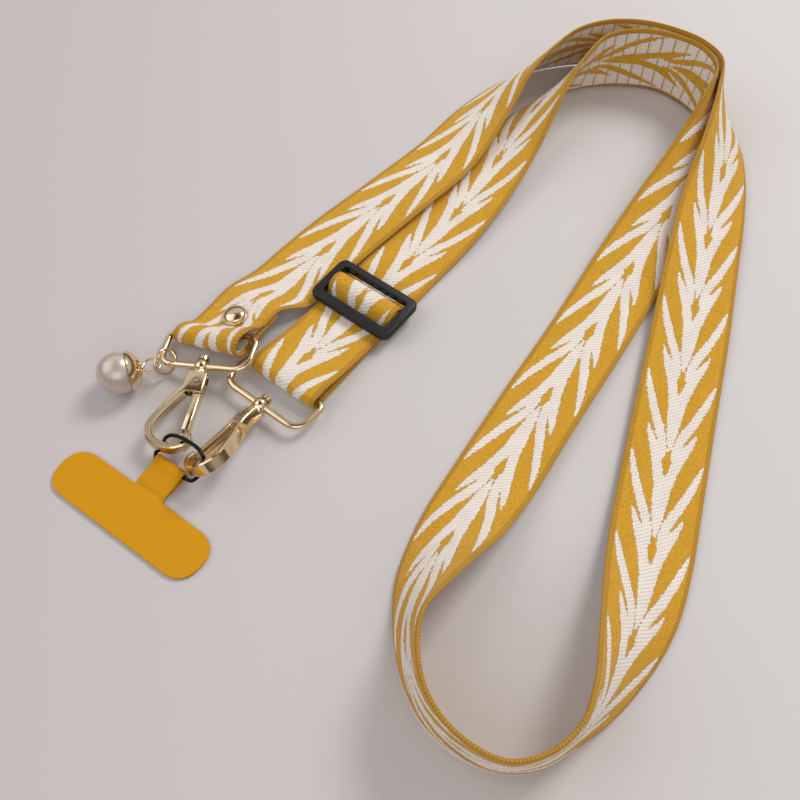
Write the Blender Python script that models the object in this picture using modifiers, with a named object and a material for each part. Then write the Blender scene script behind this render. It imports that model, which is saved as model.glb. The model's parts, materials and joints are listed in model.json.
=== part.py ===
"""Phone crossbody strap: one jacquard webbing laid as a double loop, with a riveted
snap hook at one end and a slider and second snap hook at the other. Both hooks hold a
wire ring with a flat phone tab, and a pearl charm hangs on the first hook's bail.

Lengths are in metres, +Z is up, and the strap lies on z = 0.
"""
import math

import bmesh
import bpy
import numpy as np
from mathutils import Matrix, Vector

GAP = 0.0003

# Webbing
WEBBING_WIDTH = 0.025
WEBBING_THICKNESS = 0.0013
LAID_WIDTH = 0.200
LAID_LENGTH = 0.270
LAYER = WEBBING_THICKNESS + GAP
ROUTE_STEP = 0.005
WEBBING_COLUMNS = 5

# Hook hardware
BAIL_WIRE = 0.0022
BAIL_SIDE_ROOM = 0.0016
BAIL_DEPTH = 0.0122
BAIL_NEAR_CORNER = 0.0024
BAIL_FAR_CORNER = 0.0046
POST_RADIUS = 0.0010
POST_PLAY = 0.00040
HEAD_PLAY = 0.0004
BOSS_RADIUS = 0.0024
BOSS_LENGTH = 0.0032
HEAD_RADIUS = 0.0019
HEAD_HEIGHT = 0.0013
COLLAR_RADIUS = 0.0023
COLLAR_LENGTH = 0.0012
HOOK_DEPTH = 0.0042
HOOK_WIRE = 0.0022
CHEEK_LENGTH = 0.0076
CHEEK_WIDTH = 0.0066
GATE_DEPTH = 0.0034
GATE_WIDTH = 0.0023
GATE_REACH = 0.0261
TONGUE_DEPTH = 0.0018
SLOT_DEPTH = 0.0024
PIN_RADIUS = 0.0008

# Slider
SLIDER_SIDE_ROOM = 0.0005
SLIDER_SIDE_BAR = 0.0030
SLIDER_OPENING = 0.0125
SLIDER_LOWER_BAR = 0.0034
SLIDER_UPPER_BAR = 0.0026
SLIDER_HEIGHT = 0.0028
SLIDER_BAR_RADIUS = 0.0010
SLIDER_TEETH = 7

# Rivet
RIVET_CAP_RADIUS = 0.0042
RIVET_CAP_HEIGHT = 0.0019
RIVET_FLANGE = 0.0005
RIVET_POST_RADIUS = 0.0015
RIVET_HOLE_ROOM = 0.0003
RIVET_BACK_HEIGHT = 0.0005

# Tether ring, tab and charm
RING_WIRE = 0.0012
TAB_THICKNESS = 0.0008
TAB_LENGTH = 0.0560
TAB_BAR = 0.0155
TAB_STEM = 0.0108
TAB_STEM_LENGTH = 0.0115
TAB_CORNER = 0.0065
PEARL_RADIUS = 0.0067
CAP_WALL = 0.0005
EYE_RADIUS = 0.0026
EYE_WIRE = 0.0007
JUMP_RADIUS = 0.0040
JUMP_WIRE = 0.0009

# The route of the webbing, a row for each station along its middle line: place as shares
# of LAID_WIDTH and LAID_LENGTH, roll about the line of travel in degrees (plus lifts the
# right-hand edge), and height above the floor in layers of webbing.
ROUTE = (
    # x_share, y_share, roll_deg, layers
    (-0.2615, 0.0637, 4.0, 0.20),
    (-0.2175, 0.1035, 3.0, 0.00),
    (-0.171, 0.143, 3.2, 0.00),
    (-0.072, 0.218, 7, 0.00),
    (0.024, 0.293, 11, 0.00),
    (0.104, 0.374, 30, 0.00),
    (0.152, 0.416, 46, 0.00),
    (0.210, 0.451, 58, 0.00),
    (0.262, 0.470, 69, 0.00),
    (0.324, 0.479, 76, 0.00),
    (0.389, 0.474, 80, 0.00),
    (0.453, 0.452, 84, 0.00),
    (0.498, 0.420, 90, 0.00),
    (0.523, 0.385, 88, 0.00),
    (0.533, 0.344, 66, 0.10),
    (0.530, 0.305, 52, 0.30),
    (0.518, 0.265, 42, 0.50),
    (0.483, 0.183, 21, 0.70),
    (0.450, 0.103, 13, 0.60),
    (0.410, 0.001, 6, 0.30),
    (0.360, -0.119, 5, 0.00),
    (0.310, -0.240, 6, 0.00),
    (0.288, -0.294, 11, 0.00),
    (0.258, -0.357, 28, 0.00),
    (0.218, -0.417, 54, 0.00),
    (0.186, -0.456, 73, 0.00),
    (0.154, -0.483, 87, 0.00),
    (0.116, -0.503, 92, 0.00),
    (0.067, -0.510, 96, 0.00),
    (0.004, -0.489, 93, 0.00),
    (-0.032, -0.459, 88, 0.00),
    (-0.050, -0.421, 82, 0.00),
    (-0.053, -0.383, 74, 0.00),
    (-0.031, -0.330, 50, 0.00),
    (-0.002, -0.290, 34, 0.00),
    (0.027, -0.257, 19, 0.00),
    (0.059, -0.221, 10, 0.00),
    (0.152, -0.111, 5, 0.00),
    (0.253, 0.006, 2, 0.00),
    (0.323, 0.090, -4, 0.00),
    (0.411, 0.188, -18, 0.00),
    (0.456, 0.237, -30, 0.00),
    (0.492, 0.286, -43, 0.00),
    (0.509, 0.329, -64, 0.00),
    (0.508, 0.370, -90, 0.00),
    (0.487, 0.406, -97, 0.00),
    (0.439, 0.434, -93, 0.00),
    (0.377, 0.444, -92, 0.00),
    (0.317, 0.437, -85, 0.00),
    (0.268, 0.416, -69, 0.00),
    (0.201, 0.367, -45, 0.00),
    (0.133, 0.297, -19, 0.00),
    (0.084, 0.240, -9, 0.00),
    (0.013, 0.164, -3, 0.00),
)

# Where the fittings lie: plan place as shares, heading in degrees from +X
RIVET_FOLD = {"x": -0.3565, "y": -0.0248, "heading": 55.0, "roll": 10.5}
SLIDER_PLACE = {"x": -0.1205, "y": 0.0396, "heading": -127.5}
SLIDER_TO_BAIL = 0.0392
BAIL_1_PLACE = {"x": -0.3600, "y": -0.0176, "heading": -103.0, "pitch": 0.3}
HOOK_1_YAW = 2.5
BAIL_2_HEADING = -128.0
BAIL_2_PITCH = 4.8
HOOK_2_TURN = -140.0

# Riveted fold, measured along the webbing from the fold's middle towards the hook
FOLD_RIVET = -0.0110
FOLD_RIVET_SIDE = -0.0008
FOLD_REST = 0.0001
FOLD_FREE_END = -0.0190
FOLD_LINES = {
    "left": {"side": -0.50, "axis": 0.0034, "radius": 0.0026, "flat": -0.0036},
    "middle": {"side": 0.00, "axis": 0.0004, "radius": 0.0029, "flat": -0.0064},
    "right": {"side": 0.44, "axis": -0.0022, "radius": 0.0037, "flat": -0.0135},
}

# Slider heights
RETURN_MIDDLE = WEBBING_THICKNESS / 2
SLIDER_BOTTOM = 2 * LAYER
SLIDER_BAR_HEIGHT = SLIDER_BOTTOM + 0.0006
BAIL_2_BAR_HEIGHT = WEBBING_THICKNESS + GAP + BAIL_WIRE / 2 + 0.0001

# The hook seen on its flat face, a row for each point of the teardrop's middle line:
# side towards the spine and distance past the bail, both in millimetres on a full-size hook
HOOK_LINE = (
    (1.9, 8.4),
    (4.9, 14.0),
    (7.4, 19.2),
    (8.7, 22.6),
    (8.9, 25.2),
    (7.6, 27.9),
    (5.1, 29.4),
    (2.2, 30.0),
    (-0.8, 29.7),
    (-2.9, 28.6),
    (-3.9, 27.1),
    (-4.0, 25.4),
)

# Middle line of the tether ring, in millimetres beside hook 1's nose
RING_LINE = (
    (-80.9, -50.6, 1.70),
    (-83.4, -48.8, 1.70),
    (-85.6, -47.2, 1.70),
    (-86.0, -45.6, 1.65),
    (-84.9, -44.1, 1.9),
    (-83.5, -42.7, 3.9),
    (-82.0, -42.8, 6.6),
    (-80.0, -43.2, 8.3),
    (-77.6, -44.1, 8.8),
    (-74.8, -45.7, 8.8),
    (-71.6, -48.2, 8.8),
    (-69.8, -51.2, 7.9),
    (-70.2, -53.0, 5.8),
    (-71.9, -54.3, 3.5),
    (-74.1, -55.1, 2.0),
    (-76.2, -54.1, 1.70),
    (-78.4, -52.45, 1.70),
)

# Plan places of the tab and the charm, in millimetres
TAB_PLACE = (-91.3, -64.8)
TAB_TURN = -36.2
PEARL_PLACE = (-99.9, -20.2)
PEARL_TURN = 17.5
PEARL_DIP = 3.0
PEARL_LIFT = 0.0003
CAP_START = 0.0034
EYE_REACH = 0.0104
JUMP_PLACE = (-86.5, -14.4, 4.5)
JUMP_NORMAL = (-0.758, 0.492, -0.428)

COLLECTION = "phone_crossbody_strap"
parts = bpy.data.collections.new(COLLECTION)
cutters = bpy.data.collections.new("cutters")


def clear_scene():
    """Remove every object that the file opens with."""
    for item in list(bpy.data.objects):
        bpy.data.objects.remove(item, do_unlink=True)
    for collection in (parts, cutters):
        bpy.context.scene.collection.children.link(collection)


def material(name, colour, roughness, metallic=0.0):
    """Principled material of one sub-part."""
    made = bpy.data.materials.new(name)
    made.use_nodes = True
    shader = made.node_tree.nodes["Principled BSDF"]
    shader.inputs["Base Color"].default_value = (*colour, 1.0)
    shader.inputs["Roughness"].default_value = roughness
    shader.inputs["Metallic"].default_value = metallic
    made.diffuse_color = (*colour, 1.0)
    return made


MATERIALS = {
    "webbing": ("jacquard_webbing", (0.60, 0.33, 0.06), 0.85, 0.0),
    "plastic": ("black_acetal", (0.02, 0.02, 0.02), 0.5, 0.0),
    "gold": ("champagne_gold_plate", (0.80, 0.66, 0.45), 0.2, 1.0),
    "black_wire": ("black_plated_wire", (0.03, 0.03, 0.035), 0.3, 1.0),
    "tab": ("mustard_tab", (0.64, 0.27, 0.01), 0.7, 0.0),
    "pearl": ("imitation_pearl", (0.85, 0.80, 0.75), 0.25, 0.0),
}


def add_object(name, mesh, kind, collection=parts):
    """Put a mesh into the scene as one named sub-part."""
    made = bpy.data.objects.new(name, mesh)
    collection.objects.link(made)
    if kind:
        mesh.materials.clear()
        mesh.materials.append(SHADERS[kind])
    return made


def shade(mesh, angle=35.0):
    """Smooth shading with sharp edges kept."""
    mesh.shade_smooth()
    mesh.set_sharp_from_angle(angle=math.radians(angle))


def mesh_from(build):
    """A mesh from a function that fills a bmesh."""
    mesh = bpy.data.meshes.new("mesh")
    work = bmesh.new()
    build(work)
    bmesh.ops.recalc_face_normals(work, faces=work.faces)
    work.to_mesh(mesh)
    work.free()
    return mesh


def baked(source):
    """The evaluated, welded mesh of a curve or modified object, which is then removed."""
    bpy.context.view_layer.update()
    graph = bpy.context.evaluated_depsgraph_get()
    mesh = bpy.data.meshes.new_from_object(source.evaluated_get(graph))
    mesh.transform(source.matrix_world)
    work = bmesh.new()
    work.from_mesh(mesh)
    bmesh.ops.remove_doubles(work, verts=work.verts, dist=1e-6)
    work.to_mesh(mesh)
    work.free()
    bpy.data.objects.remove(source, do_unlink=True)
    return mesh


def box_mesh(low, high, bevel=0.0):
    """A box from its corners, with its edges rounded by one bevel."""

    def build(work):
        size = [b - a for a, b in zip(low, high)]
        middle = [(a + b) / 2 for a, b in zip(low, high)]
        place = Matrix.Translation(middle) @ Matrix.Diagonal((*size, 1.0))
        bmesh.ops.create_cube(work, size=1.0, matrix=place)
        if bevel:
            bmesh.ops.bevel(work, geom=work.edges[:], offset=bevel, segments=2, profile=0.5, affect="EDGES")

    return mesh_from(build)


def cylinder_mesh(start, end, radius, sides=16):
    """A cylinder between two points."""
    start = Vector(start)
    end = Vector(end)
    turn = (end - start).to_track_quat("Z", "Y").to_matrix().to_4x4()
    place = Matrix.Translation((start + end) / 2) @ turn

    def build(work):
        bmesh.ops.create_cone(work, cap_ends=True, segments=sides, radius1=radius,
                              radius2=radius, depth=(end - start).length, matrix=place)

    return mesh_from(build)


def tube_mesh(points, radius, closed, sides_level=1):
    """A round wire along a list of points."""
    curve = bpy.data.curves.new("wire", "CURVE")
    curve.dimensions = "3D"
    curve.bevel_depth = radius
    curve.bevel_resolution = sides_level
    curve.use_fill_caps = True
    spline = curve.splines.new("POLY")
    spline.points.add(len(points) - 1)
    for point, place in zip(spline.points, points):
        point.co = (*place, 1.0)
    spline.use_cyclic_u = closed
    wire = bpy.data.objects.new("wire", curve)
    parts.objects.link(wire)
    return baked(wire)


def plate_mesh(outline, depth, bevel):
    """A flat outline in the XY plane as a plate of one depth with rounded edges."""
    curve = bpy.data.curves.new("plate", "CURVE")
    curve.dimensions = "2D"
    curve.fill_mode = "BOTH"
    curve.extrude = depth / 2 - bevel
    curve.bevel_depth = bevel
    curve.bevel_resolution = 0
    curve.offset = -bevel
    spline = curve.splines.new("POLY")
    spline.points.add(len(outline) - 1)
    for point, place in zip(spline.points, outline):
        point.co = (place[0], place[1], 0.0, 1.0)
    spline.use_cyclic_u = True
    plate = bpy.data.objects.new("plate", curve)
    parts.objects.link(plate)
    return baked(plate)


def combine(name, kind, base, operations):
    """One solid from a mesh and a list of (operation, mesh) Booleans."""
    made = add_object(name, base, kind)
    for number, (operation, mesh) in enumerate(operations):
        tool = add_object(f"{name}_tool_{number}", mesh, None, cutters)
        tool.hide_render = True
        tool.display_type = "WIRE"
        step = made.modifiers.new(f"{operation.lower()}_{number}", "BOOLEAN")
        step.operation = operation
        step.solver = "EXACT"
        step.object = tool
    return made


def place_with_tools(made, matrix):
    """Place a sub-part and the cutters of its Booleans together."""
    made.matrix_world = matrix
    for step in made.modifiers:
        if step.type == "BOOLEAN":
            step.object.matrix_world = matrix


def smooth_rows(rows, step):
    """Catmull-Rom curve through rows of numbers, with chord length of the first three
    columns as its parameter and a sample about every step."""
    rows = np.asarray(rows, float)
    length = np.linalg.norm(np.diff(rows[:, :3], axis=0), axis=1)
    at = np.concatenate(([0.0], np.cumsum(length)))
    slope = np.diff(rows, axis=0) / length[:, None]
    tangent = np.empty_like(rows)
    tangent[0] = slope[0]
    tangent[-1] = slope[-1]
    weight = length[:-1] + length[1:]
    tangent[1:-1] = (slope[:-1] * length[1:, None] + slope[1:] * length[:-1, None]) / weight[:, None]
    samples = [rows[:1]]
    for k, span in enumerate(length):
        count = max(1, round(span / step))
        u = np.linspace(0.0, 1.0, count + 1)[1:, None]
        samples.append((2 * u**3 - 3 * u**2 + 1) * rows[k] + (u**3 - 2 * u**2 + u) * span * tangent[k]
                       + (3 * u**2 - 2 * u**3) * rows[k + 1] + (u**3 - u**2) * span * tangent[k + 1])
    return np.vstack(samples)


def heading(degrees):
    """Unit vector on the floor."""
    return np.array((math.cos(math.radians(degrees)), math.sin(math.radians(degrees)), 0.0))


def right_of(direction):
    """The horizontal direction to the right of a direction of travel."""
    return np.array((direction[1], -direction[0], 0.0))


def plan(place):
    """A place given in shares, on the floor."""
    return np.array((place["x"] * LAID_WIDTH, place["y"] * LAID_LENGTH, 0.0))


UP = np.array((0.0, 0.0, 1.0))


def fold_frame():
    """Origin, hook-ward, rightward and normal directions of the riveted fold's lower layer."""
    travel = heading(RIVET_FOLD["heading"])
    right = right_of(travel)
    roll = math.radians(RIVET_FOLD["roll"])
    across = right * math.cos(roll) + UP * math.sin(roll)
    normal = UP * math.cos(roll) - right * math.sin(roll)
    rest = FOLD_REST + WEBBING_THICKNESS / 2
    lift = rest + WEBBING_WIDTH / 2 * math.sin(roll)
    return plan(RIVET_FOLD) + UP * lift, -travel, across, normal


def fold_profile(edge):
    """Outline of the fold along one edge: the free end, the loop round the bail and the
    upper layer, as distance towards the hook and height above the lower layer."""
    axis = edge["axis"]
    radius = edge["radius"]
    flat = edge["flat"]
    lower = [(FOLD_FREE_END, 0.0), (FOLD_RIVET - 0.0045, 0.0), (flat, 0.0), ((flat + axis) / 2, 0.0)]
    loop = [(axis + radius * math.cos(t), radius + radius * math.sin(t))
            for t in np.linspace(-math.pi / 2, math.pi / 2, 9)]
    open_height = 2 * radius - LAYER
    upper = [((flat + axis) / 2, LAYER + 0.66 * open_height), (flat * 0.8 + axis * 0.2, LAYER + 0.17 * open_height),
             (flat, LAYER + 0.0001), (flat - 0.0008, LAYER), (FOLD_RIVET - 0.0045, LAYER),
             (FOLD_FREE_END - 0.0004, LAYER)]
    return lower + loop + upper


def fold_stations():
    """Left, middle and right points of the riveted fold."""
    origin, hookward, across, normal = fold_frame()
    lines = []
    for line in FOLD_LINES.values():
        points = []
        for along, height in fold_profile(line):
            drawn_in = min(1.0, max(0.0, 1.0 + (along - line["axis"]) / 0.010))
            side = (line["side"] - round(line["side"], 1)) * drawn_in + round(line["side"], 1)
            points.append(origin + hookward * along + across * side * WEBBING_WIDTH + normal * height)
        lines.append(points)
    return [np.concatenate(points) for points in zip(*lines)]


def route_stations():
    """Left, middle and right points at each row of the route."""
    rows = np.array(ROUTE)
    middle = np.column_stack((rows[:, 0] * LAID_WIDTH, rows[:, 1] * LAID_LENGTH, 0 * rows[:, 0]))
    length = np.linalg.norm(np.diff(middle, axis=0), axis=1)
    at = np.concatenate(([0.0], np.cumsum(length)))
    travel = np.gradient(middle, at, axis=0)
    travel /= np.linalg.norm(travel, axis=1)[:, None]
    right = np.column_stack((travel[:, 1], -travel[:, 0], 0 * at))
    roll = np.radians(rows[:, 2])
    half = WEBBING_WIDTH / 2
    rise = WEBBING_THICKNESS / 2 + rows[:, 3] * LAYER + half * np.abs(np.sin(roll))
    across = right * np.cos(roll)[:, None] + UP * np.sin(roll)[:, None]
    centre = middle + UP * rise[:, None]
    return list(np.hstack((centre - across * half, centre, centre + across * half)))


def arc(centre, radius, start, end, steps):
    """Points of an arc in the slider's upright plane, angles in degrees."""
    turns = np.radians(np.linspace(start, end, steps))
    return [(centre[0] + radius * math.cos(t), centre[1] + radius * math.sin(t)) for t in turns]


def slider_profile():
    """Distance past the slider's middle bar and height of the webbing's middle surface,
    through the slider, round the second bail and back round the middle bar."""
    bar = (0.0, SLIDER_BAR_HEIGHT)
    wrap = SLIDER_BAR_RADIUS + GAP + WEBBING_THICKNESS / 2
    hump = wrap + LAYER
    under = RETURN_MIDDLE + LAYER
    edge = SLIDER_OPENING / 2
    bail = (SLIDER_TO_BAIL, BAIL_2_BAR_HEIGHT + GAP)
    turn = BAIL_WIRE / 2 + 2 * GAP + WEBBING_THICKNESS / 2
    points = [(-2.6 * edge, RETURN_MIDDLE), (-1.2 * edge, RETURN_MIDDLE), (-0.86 * edge, 1.9 * RETURN_MIDDLE)]
    points += arc(bar, hump, 188.0, 10.0, 10)
    points += [(0.83 * edge, under + GAP), (1.05 * edge, under), (2.4 * edge, under)]
    points += [(SLIDER_TO_BAIL * 0.72, (under + bail[1] + turn) / 2)]
    points += arc(bail, turn, 90.0, -90.0, 8)
    points += [(SLIDER_TO_BAIL * 0.72, RETURN_MIDDLE), (2.4 * edge, RETURN_MIDDLE), (1.3 * edge, RETURN_MIDDLE)]
    points += arc(bar, wrap, -90.0, -350.0, 12)
    return points


def slider_frame():
    """Origin, direction of travel and rightward direction at the slider."""
    travel = heading(SLIDER_PLACE["heading"])
    return plan(SLIDER_PLACE), travel, right_of(travel)


def slider_stations():
    """Left, middle and right points from the slider to the sewn end."""
    origin, travel, right = slider_frame()
    half = WEBBING_WIDTH / 2
    stations = []
    for along, height in slider_profile():
        centre = origin + travel * along + UP * height
        stations.append(np.concatenate((centre - right * half, centre, centre + right * half)))
    return stations


def webbing_surface():
    """The webbing's middle surface, stations by columns: a smooth curve through the left,
    middle and right points, and a parabola across them."""
    controls = np.array(fold_stations() + route_stations() + slider_stations())
    lines = smooth_rows(np.hstack((controls[:, 3:6], controls)), ROUTE_STEP)[:, 3:]
    left = lines[:, None, 0:3]
    centre = lines[:, None, 3:6]
    right = lines[:, None, 6:9]
    share = np.linspace(-1.0, 1.0, WEBBING_COLUMNS)[None, :, None]
    return centre + (right - left) / 2 * share + (left + right - 2 * centre) / 2 * share**2


def rivet_place():
    """Matrix of the rivet: its axis along the fold's normal, its zero on the lower layer."""
    origin, hookward, across, normal = fold_frame()
    at = origin + hookward * FOLD_RIVET + across * FOLD_RIVET_SIDE
    matrix = Matrix((hookward, across, normal)).transposed().to_4x4()
    if matrix.determinant() < 0:
        matrix = Matrix((-hookward, across, normal)).transposed().to_4x4()
    matrix.translation = at
    return matrix


def make_webbing():
    """The webbing: an open surface given its thickness, with the rivet's hole."""
    grid = webbing_surface()
    stations, columns, _ = grid.shape
    faces = []
    for i in range(stations - 1):
        for j in range(columns - 1):
            corner = i * columns + j
            faces.append((corner, corner + columns, corner + columns + 1, corner + 1))
    mesh = bpy.data.meshes.new("webbing")
    mesh.from_pydata(grid.reshape(-1, 3).tolist(), [], faces)
    shade(mesh, 50.0)
    hole = RIVET_POST_RADIUS + RIVET_HOLE_ROOM
    reach = 2 * LAYER
    drill = cylinder_mesh((0, 0, -reach), (0, 0, LAYER + reach), hole, 12)
    webbing = add_object("webbing", mesh, "webbing")
    wall = webbing.modifiers.new("thickness", "SOLIDIFY")
    wall.thickness = WEBBING_THICKNESS
    wall.offset = 0.0
    wall.use_even_offset = True
    tool = add_object("rivet_hole", drill, None, cutters)
    tool.hide_render = True
    tool.display_type = "WIRE"
    tool.matrix_world = rivet_place()
    cut = webbing.modifiers.new("rivet_hole", "BOOLEAN")
    cut.operation = "DIFFERENCE"
    cut.solver = "EXACT"
    cut.object = tool


def make_rivet():
    """The rivet as one turned solid: domed cap, post through both layers, back cap."""
    top = LAYER + WEBBING_THICKNESS / 2 + GAP
    bottom = -WEBBING_THICKNESS / 2 - GAP
    dome = RIVET_CAP_RADIUS * 0.86
    profile = [(0.0, top + RIVET_FLANGE + RIVET_CAP_HEIGHT)]
    for t in np.linspace(75.0, 0.0, 5):
        profile.append((dome * math.cos(math.radians(t)),
                        top + RIVET_FLANGE + RIVET_CAP_HEIGHT * math.sin(math.radians(t))))
    profile += [(RIVET_CAP_RADIUS, top + RIVET_FLANGE), (RIVET_CAP_RADIUS, top),
                (RIVET_POST_RADIUS, top), (RIVET_POST_RADIUS, bottom),
                (RIVET_CAP_RADIUS * 0.7, bottom),
                (RIVET_CAP_RADIUS * 0.7, bottom - RIVET_BACK_HEIGHT + GAP),
                (0.0, bottom - RIVET_BACK_HEIGHT + GAP)]
    rivet = turned("rivet", "gold", profile, 20)
    rivet.matrix_world = rivet_place()


def turned(name, kind, profile, steps):
    """A turned solid: a profile at +X, top to bottom, swept by a Screw modifier."""
    mesh = bpy.data.meshes.new(name)
    edges = [(k, k + 1) for k in range(len(profile) - 1)]
    mesh.from_pydata([(r, 0.0, z) for r, z in profile], edges, [])
    made = add_object(name, mesh, kind)
    screw = made.modifiers.new("turn", "SCREW")
    screw.steps = steps
    screw.render_steps = steps
    screw.use_merge_vertices = True
    screw.merge_threshold = 1e-5
    screw.use_smooth_shade = True
    return made


def make_slider():
    """The tri-glide: rounded frame, round middle bar below it and teeth on the upper bar."""
    half_x = WEBBING_WIDTH / 2 + SLIDER_SIDE_ROOM
    half_y = SLIDER_OPENING / 2
    low = (-half_x - SLIDER_SIDE_BAR, -half_y - SLIDER_UPPER_BAR, 0.0)
    high = (half_x + SLIDER_SIDE_BAR, half_y + SLIDER_LOWER_BAR, SLIDER_HEIGHT)
    frame = mesh_from(lambda work: rounded_slab(work, low, high, 0.0028, 0.0007))
    opening = mesh_from(lambda work: rounded_slab(work, (-half_x, -half_y, -0.001),
                                                  (half_x, half_y, SLIDER_HEIGHT + 0.001), 0.0012, 0.0))
    bar_height = SLIDER_BAR_HEIGHT - SLIDER_BOTTOM
    end = half_x + 0.0003
    bar = cylinder_mesh((-end, 0.0, bar_height), (end, 0.0, bar_height), SLIDER_BAR_RADIUS, 12)
    operations = [("DIFFERENCE", opening), ("UNION", bar)]
    pitch = 2 * half_x / (SLIDER_TEETH + 1)
    for k in range(SLIDER_TEETH):
        at = -half_x + (k + 1) * pitch
        tooth = box_mesh((at - pitch * 0.3, -half_y - 0.0008, SLIDER_HEIGHT * 0.35),
                         (at + pitch * 0.3, -half_y + 0.0007, SLIDER_HEIGHT * 0.8))
        operations.append(("UNION", tooth))
    slider = combine("slider", "plastic", frame, operations)
    origin, travel, right = slider_frame()
    matrix = Matrix((right, travel, UP)).transposed().to_4x4()
    matrix.translation = origin + UP * SLIDER_BOTTOM
    place_with_tools(slider, matrix)


def rounded_slab(work, low, high, corner, bevel):
    """A slab with its upright edges rounded to one radius and the others bevelled."""
    size = [b - a for a, b in zip(low, high)]
    middle = [(a + b) / 2 for a, b in zip(low, high)]
    bmesh.ops.create_cube(work, size=1.0, matrix=Matrix.Translation(middle) @ Matrix.Diagonal((*size, 1.0)))
    upright = [e for e in work.edges if abs(e.verts[0].co.z - e.verts[1].co.z) > size[2] / 2]
    bmesh.ops.bevel(work, geom=upright, offset=corner, segments=4, profile=0.5, affect="EDGES")
    if bevel:
        flat = [e for e in work.edges if abs(e.verts[0].co.z - e.verts[1].co.z) < 1e-7
                and len(e.link_faces) == 2
                and abs(e.link_faces[0].normal.dot(e.link_faces[1].normal)) < 0.5]
        bmesh.ops.bevel(work, geom=flat, offset=bevel, segments=2, profile=0.5, affect="EDGES")


def bail_line():
    """Middle line of the bail's wire: a rounded rectangle with its bar on the X axis."""
    half = WEBBING_WIDTH / 2 + BAIL_SIDE_ROOM + BAIL_WIRE / 2
    corners = ((half, 0.0, BAIL_NEAR_CORNER, -90.0), (half, BAIL_DEPTH, BAIL_FAR_CORNER, 0.0),
               (-half, BAIL_DEPTH, BAIL_FAR_CORNER, 90.0), (-half, 0.0, BAIL_NEAR_CORNER, 180.0))
    points = []
    for x, y, radius, start in corners:
        centre_x = x - math.copysign(radius, x)
        centre_y = y - radius if y else radius
        for t in np.radians(np.linspace(start, start + 90.0, 6)):
            points.append((centre_x + radius * math.cos(t), centre_y + radius * math.sin(t), 0.0))
    return points


def make_bail(number, matrix):
    """One bail: wire loop with the bored boss that the hook's post turns in."""
    wire = tube_mesh(bail_line(), BAIL_WIRE / 2, True)
    near = BAIL_DEPTH - BOSS_LENGTH / 2
    far = BAIL_DEPTH + BOSS_LENGTH / 2
    boss = cylinder_mesh((0.0, near, 0.0), (0.0, far, 0.0), BOSS_RADIUS, 16)
    bore = cylinder_mesh((0.0, near - 0.001, 0.0), (0.0, far + 0.001, 0.0), POST_RADIUS + POST_PLAY, 16)
    bail = combine(f"bail_{number}", "gold", wire, [("UNION", boss), ("DIFFERENCE", bore)])
    place_with_tools(bail, matrix)


def hook_outline():
    """Closed outline of the teardrop, from its middle line and the wire's width."""
    line = smooth_rows([(x * 0.001, y * 0.001, 0.0) for x, y in HOOK_LINE], 0.0016)[:, :2]
    travel = np.gradient(line, axis=0)
    travel /= np.linalg.norm(travel, axis=1)[:, None]
    side = np.column_stack((-travel[:, 1], travel[:, 0]))
    share = np.linspace(0.0, 1.0, len(line))
    width = HOOK_WIRE / 2 * (1.0 - 0.25 * np.clip(share * 4 - 3, 0.0, 1.0))
    outer = line + side * width[:, None]
    inner = line - side * width[:, None]
    nose = line[-1]
    turn = math.atan2(*(outer[-1] - nose)[::-1])
    cap = [nose + width[-1] * np.array((math.cos(turn - t), math.sin(turn - t)))
           for t in np.radians((45.0, 90.0, 135.0))]
    outline = np.vstack((outer, cap, inner[::-1]))
    return outline + np.array((0.0, BAIL_DEPTH))


def make_hook(number, matrix):
    """One hook body: head, post, collar, slotted cheek block and teardrop in one solid."""
    boss_near = BAIL_DEPTH - BOSS_LENGTH / 2
    boss_far = BAIL_DEPTH + BOSS_LENGTH / 2
    collar = boss_far + HEAD_PLAY
    cheek = collar + COLLAR_LENGTH * 0.7
    teardrop = plate_mesh(hook_outline(), HOOK_DEPTH, 0.0004)
    half = CHEEK_WIDTH / 2
    block = box_mesh((-half, cheek, -HOOK_DEPTH / 2), (half, cheek + CHEEK_LENGTH, HOOK_DEPTH / 2), 0.0005)
    head_end = boss_near - HEAD_PLAY
    post = cylinder_mesh((0, head_end - 0.0004, 0), (0, cheek + 0.001, 0), POST_RADIUS, 12)
    head = cylinder_mesh((0, head_end - HEAD_HEIGHT, 0), (0, head_end, 0), HEAD_RADIUS, 12)
    ring = cylinder_mesh((0, collar, 0), (0, collar + COLLAR_LENGTH, 0), COLLAR_RADIUS, 8)
    slot = box_mesh((-half - 0.001, GATE_START - 0.0026, -SLOT_DEPTH / 2),
                    (half * 0.55, cheek + CHEEK_LENGTH + 0.001, SLOT_DEPTH / 2))
    hole = cylinder_mesh((GATE_SIDE, GATE_START, -HOOK_DEPTH), (GATE_SIDE, GATE_START, HOOK_DEPTH),
                         PIN_RADIUS + GAP, 12)
    body = combine(f"hook_body_{number}", "gold", block,
                   [("UNION", teardrop), ("UNION", post), ("UNION", head), ("UNION", ring),
                    ("DIFFERENCE", slot), ("DIFFERENCE", hole)])
    place_with_tools(body, matrix)


CHEEK_START = BAIL_DEPTH + BOSS_LENGTH / 2 + HEAD_PLAY + COLLAR_LENGTH * 0.7
GATE_START = CHEEK_START + 0.0036
GATE_SIDE = -0.0006


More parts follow.
